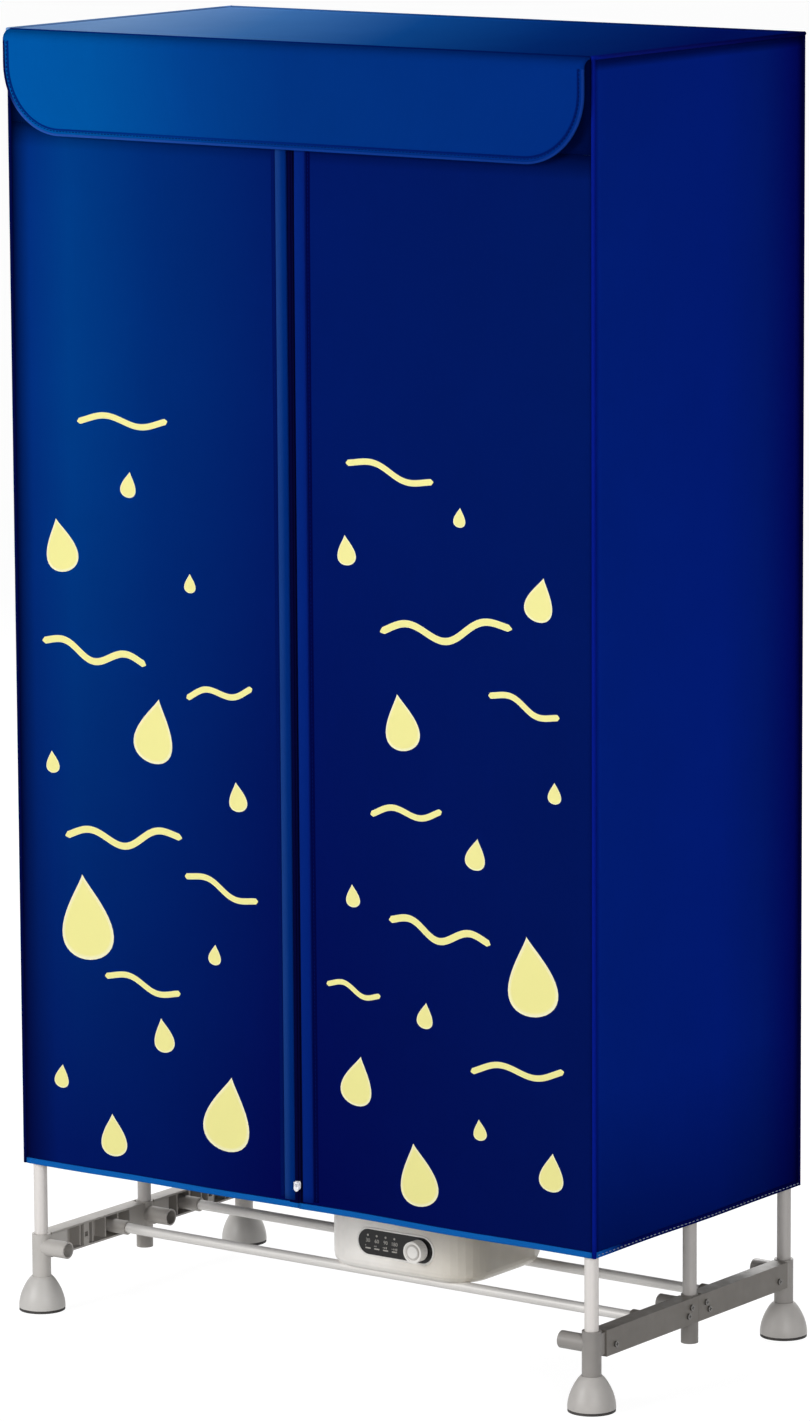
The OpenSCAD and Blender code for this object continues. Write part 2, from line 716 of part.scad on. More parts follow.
module cover_left() { side_panel(); }
module cover_right() { mirror([1, 0, 0]) side_panel(); }

// Fixed strip above the doors, behind the flap
module cover_header() {
    color("navy") translate([-piping_x + edge_gap, -cover_y, door_top_z + swing_gap])
    cube([2 * (piping_x - edge_gap), cloth_t, panel_top_z - door_top_z - swing_gap]);
}

// Piping up the four corners and along the sides and the rear of the top
module cover_piping() {
    color("mediumblue") {
        for (sx = SIDES, sy = SIDES) translate([sx * piping_x, sy * piping_y, hem_z])
            cylinder(d = piping_d, h = piping_z - piping_d / 2 - swing_gap - hem_z);
        for (sx = SIDES) translate([sx * piping_x, -piping_y - piping_d / 2, piping_z]) rotate([-90, 0, 0])
            cylinder(d = piping_d, h = 2 * piping_y + piping_d);
        translate([-piping_x + piping_d / 2 + swing_gap, piping_y, piping_z]) rotate([0, 90, 0])
        cylinder(d = piping_d, h = 2 * (piping_x - piping_d / 2 - swing_gap));
    }
}

// Front flap: a short lip from the top's front edge, and a sheet that hangs with round corners
module flap() {
    half = cover_x - flap_side;
    lip_y = -cover_y - flap_gap - flap_t / 2;
    color("dodgerblue") {
        translate([0, -cover_y - flap_gap, top_face_z - flap_h]) rotate([90, 0, 0])
        linear_extrude(flap_t) intersection() {
            translate([-half, 0]) square([2 * half, flap_h]);
            union() {
                translate([-half + flap_r, 0]) square([2 * (half - flap_r), flap_h]);
                translate([-half, flap_r]) square([2 * half, flap_h]);
                for (s = SIDES) translate([s * (half - flap_r), flap_r]) circle(r = flap_r);
            }
        }
        translate([-half, lip_y, top_face_z - cloth_t]) cube([2 * half, -cover_y - swing_gap - lip_y, cloth_t]);
    }
}

// ---------------------------------------------------------------- Doors and zip

// One half of the front, with side -1 for the left and 1 for the right: the cloth, the binding
// along its hem and the welt along the zip
module door(side) {
    hinge_edge = side * (piping_x - edge_gap);
    zip_edge = zip_x + side * zip_w / 2;
    width = abs(hinge_edge - zip_edge);
    height = door_top_z - hem_z;
    color("midnightblue") translate([min(hinge_edge, zip_edge), -cover_y, hem_z]) {
        cube([width, cloth_t, height]);
        translate([0, -cloth_t / 2, 0]) cube([width, cloth_t / 2, hem_w]);
        translate([side < 0 ? width - welt_w : 0, -welt_t, 0]) cube([welt_w, welt_t, height]);
    }
}

module door_left() { door(-1); }
module door_right() { door(1); }

// Tape and one row of coil, drawn for the left of the zip
module zip_half() {
    color("black") translate([0, 0, hem_z + hem_w]) {
        translate([-zip_w / 2 - tape_lap, tape_y, 0])
        cube([zip_w / 2 + tape_lap - coil_gap / 2, tape_t, door_top_z - hem_z - hem_w]);
        translate([-coil_gap / 2 - coil_w, coil_y, 0])
        cube([coil_w, tape_y - coil_y, door_top_z - hem_z - hem_w]);
    }
}

module zip_left() { translate([zip_x, 0, 0]) zip_half(); }
module zip_right() { translate([zip_x, 0, 0]) mirror([1, 0, 0]) zip_half(); }

// Slider: front and back plates joined by a blade that runs between the rows, two flanges, and a
// bail for the pull's pin
module zip_slider() {
    blade_t = coil_gap - 2 * swing_gap;
    color("whitesmoke") translate([zip_x, 0, slider_z - slider_h / 2]) difference() {
        union() {
            for (y = [slider_front_y, slider_back_y]) translate([-slider_w / 2, y, 0])
                cube([slider_w, slider_t, slider_h]);
            translate([-blade_t / 2, slider_front_y, 0])
            cube([blade_t, slider_back_y - slider_front_y + slider_t, slider_h]);
            for (s = SIDES) translate([s * (slider_w - slider_t) / 2 - slider_t / 2, slider_front_y, 0])
                cube([slider_t, tape_y - swing_gap - slider_front_y, slider_h]);
            translate([-bail_w / 2, slider_front_y - bail_out, slider_h - bail_h])
            cube([bail_w, bail_out, bail_h]);
        }
        translate([-bail_w, pull_pivot_y, slider_h - bail_h / 2]) rotate([0, 90, 0])
        cylinder(d = pull_pin_d + 2 * run_clear, h = 2 * bail_w);
    }
}

// Pull: a tab and a fork that hang from a pin through the slider's bail
module zip_pull() {
    cheek = (pull_w - bail_w) / 2 - swing_gap;
    color("whitesmoke") translate([zip_x, pull_pivot_y, pull_pivot_z]) {
        rotate([0, 90, 0]) translate([0, 0, -pull_w / 2]) cylinder(d = pull_pin_d, h = pull_w);
        for (s = SIDES) translate([s * (pull_w - cheek) / 2 - cheek / 2, -pull_t / 2, -pull_fork - pull_t])
            cube([cheek, pull_t, pull_fork + pull_t]);
        translate([-pull_w / 2, -pull_t / 2, -pull_len]) cube([pull_w, pull_t, pull_len - pull_fork]);
    }
}

// ---------------------------------------------------------------- Heater case

// Rounded block between heights z0 and z1, drawn in by inset all round. Its lower and upper
// edges are rounded with the radii low and high.
module case_form(z0, z1, inset, low, high) {
    levels = concat(
        low > 0 ? [for (i = [0:shell_steps]) let (a = 90 * i / shell_steps)
            [z0 + low * (1 - cos(a)), low * (1 - sin(a))]] : [[z0, 0]],
        high > 0 ? [for (i = [shell_steps:-1:0]) let (a = 90 * i / shell_steps)
            [z1 - high * (1 - cos(a)), high * (1 - sin(a))]] : [[z1, 0]]);
    corners = [
        [unit_x0, unit_y0, 1, 1, unit_r_front], [unit_x1, unit_y0, -1, 1, unit_r_front],
        [unit_x0, unit_y1, 1, -1, unit_r_rear], [unit_x1, unit_y1, -1, -1, unit_r_rear]
    ];
    hull() for (i = [0:len(levels) - 2], c = corners) {
        r = c[4];
        translate([c[0] + c[2] * r, c[1] + c[3] * r, levels[i][0]])
        cylinder(r1 = r - inset - levels[i][1], r2 = r - inset - levels[i + 1][1],
                 h = levels[i + 1][0] - levels[i][0], $fn = 32);
    }
}

// Round-ended bar of the given width, height and depth, centred at the origin, along -Y to +Y
module pill(w, h, depth) {
    rotate([-90, 0, 0]) linear_extrude(depth) {
        square([w - h, h], center = true);
        for (s = SIDES) translate([s * (w - h) / 2, 0]) circle(d = h);
    }
}

// The case's four screws
CASE_SCREWS = [for (sx = SIDES, sy = SIDES)
    [unit_x + sx * (unit_w / 2 - case_screw_inset), sy * (rail_y - case_screw_gap)]];

// Lower shell: rail grooves, air slots, the panel's pocket, screw bosses, and feet for the motor
// and the board
module heater_base() {
    sink_r = rail_d / 2 + seat_gap;
    color("antiquewhite") difference() {
        union() {
            difference() {
                case_form(unit_z, split_z, 0, unit_fillet, 0);
                case_form(floor_z, split_z + 1, unit_wall, unit_fillet - unit_wall, 0);
            }
            intersection() {
                case_form(unit_z, split_z, unit_wall / 2, unit_fillet, 0);
                union() {
                    for (s = SIDES) translate([unit_x0, s * rail_y - sink_r - groove_wall, unit_z])
                        cube([unit_w, 2 * (sink_r + groove_wall), rail_sink + groove_wall]);
                    translate([panel_x, unit_y0, panel_z])
                    pill(panel_w + 2 * pocket_rim, panel_h + 2 * pocket_rim, pocket_y + pocket_wall - unit_y0);
                }
            }
            for (spot = CASE_SCREWS) translate([spot[0], spot[1], floor_z - unit_wall / 2])
                cylinder(d = screw_head_d + 2 * unit_wall, h = case_seat_z - floor_z + unit_wall / 2);
            for (sx = SIDES, sz = SIDES) translate([panel_x + sx * (board_w / 2 - unit_wall),
                pocket_y + pocket_wall / 2, panel_z + sz * (board_h / 2 - unit_wall)]) rotate([-90, 0, 0])
                cylinder(r = unit_wall, h = board_y - pocket_y - pocket_wall / 2 - seat_gap);
            translate([fan_x, fan_y, floor_z - unit_wall / 2])
            cylinder(d = motor_foot_d, h = motor_lift + unit_wall / 2 - seat_gap);
        }
        for (s = SIDES) translate([unit_x0 - 1, s * rail_y, arm_z]) rotate([0, 90, 0])
            cylinder(r = sink_r, h = unit_w + 2);
        translate([panel_x, unit_y0 - panel_t, panel_z])
        pill(panel_w + 2 * seat_gap, panel_h + 2 * seat_gap, pocket_y - unit_y0 + panel_t);
        translate([panel_x, unit_y0, panel_z])
        pill(panel_w - 2 * panel_ledge, panel_h - 2 * panel_ledge, unit_r_front);
        for (i = [0:inlet_slots - 1]) let (k = i - (inlet_slots - 1) / 2, y = k * inlet_pitch)
            if (abs(k) > 1.5) let (reach = 2 * sqrt(pow(inlet_d / 2, 2) - pow(y, 2)))
                translate([fan_x - reach / 2, fan_y + y - inlet_w / 2, unit_z - 1])
                cube([reach, inlet_w, unit_wall + 2]);
        for (spot = CASE_SCREWS) translate([spot[0], spot[1], unit_z - 1]) {
            cylinder(d = screw_d + 2 * hole_clear, h = base_shell_h);
            cylinder(d = screw_head_d + 2 * seat_gap, h = case_screw_z - unit_z + 1);
        }
        translate([cord_x, unit_y1 - unit_r_front, cord_z]) rotate([-90, 0, 0])
        cylinder(d = gland_d + 2 * hole_clear, h = 2 * unit_r_front);
    }
}

// Upper shell: a lip that reaches into the lower shell, the fan's tunnel, the grille's rebate and
// screw bosses
module heater_cover() {
    rebate_d = outlet_d + 2 * grille_clear;
    collar_h = grille_t + 2 * unit_wall;
    inside = unit_wall / 2;
    color("antiquewhite") difference() {
        union() {
            difference() {
                case_form(split_z + seat_gap, unit_top_z, 0, 0, unit_top_fillet);
                case_form(split_z - 1, unit_top_z - unit_wall, unit_wall, 0, unit_top_fillet - unit_wall);
            }
            difference() {
                union() {
                    case_form(split_z - lip_h, split_z + lip_h, unit_wall + seat_gap, 0, 0);
                    case_form(split_z + seat_gap, split_z + lip_h, inside, 0, 0);
                }
                case_form(split_z - lip_h - 1, split_z + lip_h + 1, 2 * unit_wall, 0, 0);
            }
            translate([fan_x, fan_y, tunnel_z0])
            cylinder(d = tunnel_d + 2 * unit_wall, h = unit_top_z - inside - tunnel_z0);
            translate([fan_x, fan_y, unit_top_z - collar_h])
            cylinder(d = rebate_d + 2 * unit_wall, h = collar_h - inside);
            for (spot = CASE_SCREWS) translate([spot[0], spot[1], case_seat_z + seat_gap])
                cylinder(d = screw_d + 2 * unit_wall, h = unit_top_z - inside - case_seat_z - seat_gap);
        }
        translate([fan_x, fan_y, tunnel_z0 - 1]) cylinder(d = tunnel_d, h = unit_h);
        translate([fan_x, fan_y, unit_top_z - grille_t - seat_gap]) cylinder(d = rebate_d, h = unit_h);
        for (spot = CASE_SCREWS) translate([spot[0], spot[1], case_screw_z])
            cylinder(d = screw_d + 2 * hole_clear, h = screw_len + 2);
    }
}

// Round grille that drops into the cover's rebate
module outlet_grille() {
    ring_step = (outlet_d - grille_bar) / 2 / grille_rings;
    color("lightgray") translate([fan_x, fan_y, unit_top_z - grille_t]) {
        for (i = [1:grille_rings]) difference() {
            cylinder(r = i * ring_step + grille_bar / 2, h = grille_t);
            translate([0, 0, -1]) cylinder(r = i * ring_step - grille_bar / 2, h = grille_t + 2);
        }
        for (i = [0:grille_spokes - 1]) rotate([0, 0, 360 * i / grille_spokes])
            translate([0, -grille_bar / 4, 0]) cube([(outlet_d - grille_bar) / 2, grille_bar / 2, grille_t]);
        cylinder(r = ring_step / 2, h = grille_t);
    }
}

// ---------------------------------------------------------------- Controls

module control_panel() {
    color("black") difference() {
        translate([panel_x, panel_face_y, panel_z]) pill(panel_w, panel_h, panel_t);
        translate([knob_x, panel_face_y - 1, panel_z]) rotate([-90, 0, 0])
        cylinder(d = shaft_d + 2 * shaft_hole_gap, h = panel_t + 2);
    }
}

// Knob with shallow flutes round its grip, a groove round its face and a blind bore for its shaft
module control_knob() {
    groove_d = knob_d - 2 * flute_d;
    color("white") translate([knob_x, knob_back_y, panel_z]) rotate([90, 0, 0]) difference() {
        cylinder(d = knob_d, h = knob_h);
        for (i = [0:knob_flutes - 1]) rotate([0, 0, 360 * i / knob_flutes])
            translate([knob_d / 2 + flute_d / 4, 0, knob_cap_t / 2])
            cylinder(d = flute_d, h = knob_h - 1.5 * knob_cap_t, $fn = 16);
        translate([0, 0, knob_h - knob_cap_t / 3]) difference() {
            cylinder(d = groove_d, h = knob_cap_t);
            translate([0, 0, -1]) cylinder(d = groove_d - 2 * knob_groove_w, h = knob_cap_t + 2);
        }
        translate([0, 0, -1]) cylinder(d = shaft_d + 2 * run_clear, h = knob_h - knob_cap_t + 1);
    }
}

module knob_shaft() {
    color("silver") translate([knob_x, shaft_front_y, panel_z]) rotate([-90, 0, 0])
    cylinder(d = shaft_d, h = shaft_back_y - shaft_front_y);
}

// Plunger of the encoder's push switch, behind the shaft
module encoder_plunger() {
    color("black") translate([knob_x, shaft_back_y + swing_gap, panel_z]) rotate([-90, 0, 0])
    cylinder(d = shaft_d - 1, h = board_y - shaft_back_y - 2 * swing_gap - knob_travel);
}

// Board with the encoder's housing, a display, a relay and a driver block soldered on it
module control_board() {
    housing_y = pocket_y + pocket_wall + 1;
    color("darkgreen") {
        translate([panel_x - board_w / 2, board_y, panel_z - board_h / 2]) cube([board_w, board_t, board_h]);
        difference() {
            translate([knob_x - encoder_w / 2, housing_y, panel_z - encoder_w / 2])
            cube([encoder_w, board_y - housing_y, encoder_w]);
            translate([knob_x, housing_y - 1, panel_z]) rotate([-90, 0, 0])
            cylinder(d = shaft_d + 2 * run_clear, h = board_y - housing_y + 1);
        }
        for (b = BOARD_BLOCKS)
            translate([panel_x + b[0] - b[1] / 2, b[4] < 0 ? board_y - b[3] : board_y + board_t,
                panel_z - b[2] / 2]) cube([b[1], b[3], b[2]]);
    }
}

// ---------------------------------------------------------------- Fan, core and cord bush

module fan_motor() {
    color("slategray") translate([fan_x, fan_y, motor_z]) difference() {
        union() {
            cylinder(d = motor_d, h = motor_h);
            translate([0, 0, motor_h]) cylinder(d = motor_d / 3, h = motor_cap_h);
        }
        translate([0, 0, motor_base_t]) cylinder(r = shaft_r + run_clear, h = motor_h);
    }
}

module motor_shaft() {
    z0 = motor_z + motor_base_t + seat_gap;
    color("silver") translate([fan_x, fan_y, z0]) cylinder(r = shaft_r, h = fan_z + fan_h - 3 - z0);
}

// Axial fan with tilted blades on a hub that is pressed on the shaft
module fan_impeller() {
    root_r = fan_hub_d / 2 - 2;
    color("dimgray") translate([fan_x, fan_y, fan_z]) difference() {
        union() {
            cylinder(d = fan_hub_d, h = fan_h);
            for (i = [0:fan_blades - 1]) rotate([0, 0, 360 * i / fan_blades])
                translate([root_r, 0, fan_h / 2]) rotate([blade_tilt, 0, 0])
                translate([0, -fan_h / 2, -blade_t / 2]) cube([fan_d / 2 - 2 - root_r, fan_h, blade_t]);
        }
        translate([0, 0, -1]) cylinder(r = shaft_r + run_clear / 2, h = fan_h - 1);
    }
}

// Ceramic heater core: two end blocks, three rails and thin fins between them
module heater_core() {
    inner_w = core_w - 2 * core_block;
    pitch = inner_w / core_spaces;
    color("lightslategray") translate([fan_x - core_w / 2, fan_y - core_d / 2, core_z]) {
        for (x = [0, core_w - core_block]) translate([x, 0, 0]) cube([core_block, core_d, core_h]);
        for (y = [0, (core_d - core_rail) / 2, core_d - core_rail]) translate([core_block, y, 0])
            cube([inner_w, core_rail, core_h]);
        for (i = [1:core_spaces - 1]) translate([core_block + i * pitch - fin_t / 2, core_rail, 0])
            cube([fin_t, core_d - 2 * core_rail, core_h]);
    }
}

// Thermal cut-out on the front rail of the heater core
module thermal_cutout() {
    color("tan") translate([fan_x, fan_y - core_d / 2 - swing_gap, core_z + core_h / 2]) rotate([90, 0, 0]) {
        cylinder(d = cutout_d, h = cutout_t);
        translate([0, 0, cutout_t]) cylinder(d = cutout_d / 2, h = cutout_t / 2);
    }
}

// Bush that leads a cord out of the rear of the heater
module cord_gland() {
    neck = unit_wall + gland_flange_t;
    color("black") translate([cord_x, unit_y1 - neck, cord_z]) rotate([-90, 0, 0]) difference() {
        union() {
            cylinder(d = gland_d, h = neck + gland_flange_t);
            translate([0, 0, neck + swing_gap]) cylinder(d = gland_d + 4, h = gland_flange_t);
        }
        translate([0, 0, -1]) cylinder(d = gland_bore_d, h = neck + 2 * gland_flange_t + 2);
    }
}

// ---------------------------------------------------------------- Show

foot_front_left();
foot_front_right();
foot_rear_left();
foot_rear_right();
foot_pads();
corner_front_left();
corner_front_right();
corner_rear_left();
corner_rear_right();
arm_front_left();
arm_front_right();
arm_rear_left();
arm_rear_right();
hub_left();
hub_right();
screws();
rail_front();
rail_rear();
tube_front_left();
tube_front_right();
tube_mid_left();
tube_mid_right();
tube_rear_left();
tube_rear_right();
upper_tubes();
mid_frame_left();
mid_frame_right();
top_frame_left();
top_frame_right();
mid_rod_front();
mid_rod_rear();
top_rod_front();
top_rod_rear();
cover_top();
cover_back();
cover_left();
cover_right();
cover_header();
cover_piping();
flap();
door_left();
door_right();
zip_left();
zip_right();
zip_slider();
zip_pull();
heater_base();
heater_cover();
outlet_grille();
control_panel();
control_knob();
knob_shaft();
encoder_plunger();
control_board();
fan_motor();
motor_shaft();
fan_impeller();
heater_core();
thermal_cutout();
cord_gland();
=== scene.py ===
# %% [markdown]
# # A heated drying cabinet in Blender
# The cabinet is a tube frame with a cloth cover pulled over it. The CAD model holds the frame, the
# heater and plain solids for the cloth. This script loads it, gives the hard parts their finish,
# and makes each cloth piece anew, because cloth is what the eye sees first.

# %% Load the frame
import math
import bpy
from mathutils import Matrix, Vector


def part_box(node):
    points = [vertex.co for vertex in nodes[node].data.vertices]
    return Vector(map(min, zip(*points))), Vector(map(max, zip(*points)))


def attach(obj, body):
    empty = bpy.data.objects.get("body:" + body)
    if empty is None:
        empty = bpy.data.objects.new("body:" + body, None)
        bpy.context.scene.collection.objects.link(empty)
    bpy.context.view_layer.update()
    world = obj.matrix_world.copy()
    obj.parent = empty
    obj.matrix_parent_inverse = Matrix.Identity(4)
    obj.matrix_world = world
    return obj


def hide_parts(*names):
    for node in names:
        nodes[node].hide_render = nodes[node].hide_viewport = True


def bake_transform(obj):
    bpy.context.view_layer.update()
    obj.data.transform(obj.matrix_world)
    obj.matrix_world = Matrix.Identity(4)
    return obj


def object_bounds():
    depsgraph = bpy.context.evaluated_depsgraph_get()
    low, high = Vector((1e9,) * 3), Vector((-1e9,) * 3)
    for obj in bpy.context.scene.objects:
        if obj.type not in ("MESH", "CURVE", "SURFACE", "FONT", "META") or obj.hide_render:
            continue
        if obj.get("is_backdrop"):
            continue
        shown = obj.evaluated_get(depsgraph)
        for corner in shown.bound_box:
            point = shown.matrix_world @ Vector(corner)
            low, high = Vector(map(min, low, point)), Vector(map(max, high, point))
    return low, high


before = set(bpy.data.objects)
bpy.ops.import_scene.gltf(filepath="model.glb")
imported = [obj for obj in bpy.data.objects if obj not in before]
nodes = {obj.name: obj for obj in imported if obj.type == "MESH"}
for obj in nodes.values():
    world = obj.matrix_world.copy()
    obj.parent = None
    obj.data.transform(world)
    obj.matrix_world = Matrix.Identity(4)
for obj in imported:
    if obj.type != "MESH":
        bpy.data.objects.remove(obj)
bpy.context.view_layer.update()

# %% [markdown]
# ## Measures from the CAD
# A cloth piece has to lie where its solid lies, so its edges are read from the CAD boxes and not
# typed in again. Everything is in metres.

# %% Read the edges of the cover
back_low, back_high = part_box("cover_back")
left_low, left_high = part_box("door_left")
right_low, right_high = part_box("door_right")
side_low, side_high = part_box("cover_right")
flap_low, flap_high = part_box("flap")
top_low, top_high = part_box("cover_top")
head_low, head_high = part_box("cover_header")
pipe_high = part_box("cover_piping")[1]
CLOTH = head_high.y - head_low.y          # thickness of the cover's cloth
FRONT = head_low.y                        # outer face of the front
REAR = -FRONT
HEM = left_low.z
DOOR_TOP = left_high.z                    # where the halves end in the CAD
SEAM = flap_low.z + 0.012                 # where the front halves are sewn in, behind the flap
PIPE = 0.0025                             # radius of the piping
WELT = 0.015                              # width of the band along the zip
corner_x = pipe_high.x - PIPE
corner_y = pipe_high.y - PIPE
zip_x = (left_high.x + right_low.x) / 2
SIDE = corner_x + CLOTH / 2
print("hem", round(HEM, 4), "front", round(FRONT, 4), "side", round(SIDE, 4),
      "zip", round(zip_x, 4))

# %% [markdown]
# ## Camera
# A product photo is taken from far away with a long lens, so near and far edges stay almost
# parallel. The camera's place and turn were worked out from the corners of the cabinet in the
# photo. The lens is given for Blender's 36 mm sensor along the longer side of an 810 by 1421
# picture.

# %% Place the camera
def show(name, data):
    """Put data into the scene as an object."""
    thing = bpy.data.objects.new(name, data)
    bpy.context.scene.collection.objects.link(thing)
    return thing


IMAGE_HEIGHT = 1421
FOCAL_PIXELS = 6937
SENSOR = 36
CAMERA_PLACE = (4.592, -6.344, 2.067)
yaw, pitch, roll = (math.radians(a) for a in (35.91, 9.75, -0.32))
camera = show("camera", bpy.data.cameras.new("camera"))
camera.data.sensor_width = SENSOR
camera.data.lens = FOCAL_PIXELS / IMAGE_HEIGHT * SENSOR
camera.data.clip_end = 50
ahead = Vector((-math.sin(yaw) * math.cos(pitch), math.cos(yaw) * math.cos(pitch),
                -math.sin(pitch)))
level = Vector((math.cos(yaw), math.sin(yaw), 0))
lift = level.cross(ahead)
right = level * math.cos(roll) + lift * math.sin(roll)
up = lift * math.cos(roll) - level * math.sin(roll)
turned = Matrix((right, up, -ahead)).transposed().to_4x4()
camera.matrix_world = Matrix.Translation(CAMERA_PLACE) @ turned
bpy.context.scene.camera = camera
print("lens", round(camera.data.lens, 1), "mm")

# %% [markdown]
# ## Nodes written as sums
# A finish is easier to read as `1 - mask * 0.3` than as a row of boxes and wires. The class below
# wraps one socket and turns the usual signs into Math nodes. Everything else, from a noise to a
# colour mix, is made by one method of the finish.

# %% Wrap a socket
class Wire:
    """One output of a shader node. A sum with it adds the Math node."""
    def __init__(self, socket):
        self.socket = socket
        self.tree = socket.id_data

    def sum(self, kind, *terms):
        node = self.tree.nodes.new("ShaderNodeMath")
        node.operation = kind
        for place, term in enumerate(terms):
            if isinstance(term, Wire):
                self.tree.links.new(term.socket, node.inputs[place])
            else:
                node.inputs[place].default_value = term
        return Wire(node.outputs[0])

    def __add__(self, other): return self.sum("ADD", self, other)
    def __radd__(self, other): return self.sum("ADD", other, self)
    def __sub__(self, other): return self.sum("SUBTRACT", self, other)
    def __rsub__(self, other): return self.sum("SUBTRACT", other, self)
    def __mul__(self, other): return self.sum("MULTIPLY", self, other)
    def __rmul__(self, other): return self.sum("MULTIPLY", other, self)
    def __truediv__(self, other): return self.sum("DIVIDE", self, other)
    def __pow__(self, other): return self.sum("POWER", self, other)
    def __mod__(self, other): return self.sum("MODULO", self, other)
    def floor(self): return self.sum("FLOOR", self)
    def sine(self): return self.sum("SINE", self)
    def size(self): return self.sum("ABSOLUTE", self)
    def capped(self): return self.sum("MINIMUM", self, 1.0)


print("sums ready")

# %% [markdown]
# ### A finish
# A material is a tree of nodes that ends in its surface shader, and the class below holds both.
# Its method `node` adds any node from a type, its settings and its sockets. The other methods are
# short names for the nodes that come up often. Colours are written as a picture shows them, since
# that is how they are seen, and turned into the numbers that light uses.

# %% Add nodes to a finish
def linear(*colour):
    """A colour as a picture shows it, from 0 to 255, turned to the numbers that light uses."""
    return [v / 12.92 if v <= 0.04045 else ((v + 0.055) / 1.055) ** 2.4
            for v in (c / 255 for c in colour)]


class Finish:
    """A material with its surface shader, and one method that adds any node."""
    def __init__(self, name, colour, **surface):
        self.material = bpy.data.materials.new(name)
        self.material.use_nodes = True
        self.tree = self.material.node_tree
        self.shader = self.tree.nodes["Principled BSDF"]
        self.colour = linear(*colour)
        self.set("Base Color", self.colour)
        for socket, value in surface.items():
            self.set(socket.replace("_", " "), value)

    def put(self, socket, value):
        if isinstance(value, Wire):
            self.tree.links.new(value.socket, socket)
        elif hasattr(value, "__len__"):
            socket.default_value = (*value, 1)[:len(socket.default_value)]
        else:
            socket.default_value = value

    def set(self, socket, value):
        self.put(self.shader.inputs[socket], value)

    def node(self, kind, settings=None, sockets=None, out=0):
        node = self.tree.nodes.new("ShaderNode" + kind)
        for name, value in (settings or {}).items():
            if name == "stops":
                while len(node.color_ramp.elements) < len(value):
                    node.color_ramp.elements.new(0.5)
                for element, (place, colour) in zip(node.color_ramp.elements, value):
                    element.position = place
                    element.color = (*colour, 1)
            else:
                setattr(node, name, value)
        for name, value in (sockets or {}).items():
            self.put(node.inputs[name], value)
        return Wire(node.outputs[out])

    def between(self, mask, first, second):
        """The colour first where mask is 0, and second where it is 1."""
        return self.node("Mix", {"data_type": "RGBA"}, {0: mask, 6: first, 7: second}, out=2)

    def scaled(self, colour, factor):
        return self.node("VectorMath", {"operation": "SCALE"}, {0: colour, 3: factor})

    def shade(self, mask, low, high):
        """The finish's own colour times low where mask is 0, and times high where it is 1."""
        return self.between(mask, [c * low for c in self.colour], [c * high for c in self.colour])

    def place(self):
        """Where a point lies on the piece, in metres."""
        return self.node("TexCoord", out=3)

    def flat(self):
        """Where a point lies on cloth that is spread flat, in metres."""
        return self.node("UVMap", {"uv_map": "flat"})

    def rest(self):
        """Where a point of cloth lies along X and Z while the cabinet is shut, in metres."""
        return self.node("UVMap", {"uv_map": "rest"})

    def parts(self, vector):
        return [self.node("SeparateXYZ", None, {0: vector}, out=i) for i in range(3)]

    def noise(self, scale, detail=3, vector=None):
        """Noise along a vector, or else along the place on the piece."""
        return self.node("TexNoise", None, {"Vector": vector or self.place(), "Scale": scale,
                                            "Detail": detail})

    def stretch(self, vector, scale):
        return self.node("VectorMath", {"operation": "MULTIPLY"}, {0: vector, 1: scale})

    def spread(self, value, low, high, to_low=0.0, to_high=1.0):
        return self.node("MapRange", None, {"Value": value, "From Min": low, "From Max": high,
                                            "To Min": to_low, "To Max": to_high})

    def done(self, tint, height, depth, gloss=None):
        """Set the colour, a relief with its depth in metres and the gloss. Returns the material."""
        self.set("Base Color", tint)
        self.set("Normal", self.node("Bump", None, {"Height": height, "Distance": depth}))
        if gloss:
            self.set("Roughness", gloss)
        return self.material


print("helpers ready")

# %% [markdown]
# ## Hard finishes
# The frame has four: grey moulded plastic for the corner pieces and arms, a lighter one for the
# feet, silver paint on the tubes, and rubber under the feet. Moulded plastic has a fine grain and
# slightly uneven gloss. Paint on a drawn tube has faint lines along it and tiny bright flakes.
# The grain comes from noise at its real size, so it holds up when the camera comes near.

# %% Moulded plastic
def moulded(name, colour, rough=0.45, grain=0.00035, depth=0.00004, left=None,
            fade=(0.3, -0.35), **more):
    """left is a lighter colour painted on towards the left, as painted light, and fade the places
    along X between which the colour changes to it."""
    f = Finish(name, colour, Roughness=rough, **more)
    tint = f.colour
    if left:
        tint = f.between(f.spread(f.parts(f.place())[0], *fade), tint, linear(*left))
    gloss = f.spread(f.noise(90), 0.3, 0.7, rough - 0.06, rough + 0.08)
    tint = f.scaled(tint, f.spread(f.noise(28, 4), 0.3, 0.7, 0.92, 1.06))
    return f.done(tint, f.noise(1 / grain, 2), depth, gloss)


def drawn_tube(name, colour, rear=1.0):
    """rear is how much darker the tubes behind the front ones are painted, as painted shade."""
    f = Finish(name, colour, Metallic=0.15, Roughness=0.45)
    place = f.place()
    lines = f.noise(1, 3, f.stretch(place, (900, 900, 12)))
    flakes = f.node("TexVoronoi", None, {"Vector": place, "Scale": 2600})
    paint = f.between(f.spread(flakes, 0.0, 0.5, 0.25, 0), f.shade(lines, 0.94, 1.05),
                      [min(1, c * 1.25) for c in f.colour])
    tint = f.scaled(paint, f.spread(f.parts(place)[1], -0.17, -0.05, 1.0, rear))
    return f.done(tint, lines, 0.00001, f.spread(lines, 0.3, 0.7, 0.4, 0.5))


def cast_rubber(name, colour):
    f = Finish(name, colour, Roughness=0.75)
    dust = f.spread(f.noise(60, 5), 0.45, 0.75)
    return f.done(f.between(dust * 0.35, f.colour, linear(96, 92, 88)), f.noise(1800), 0.00008)


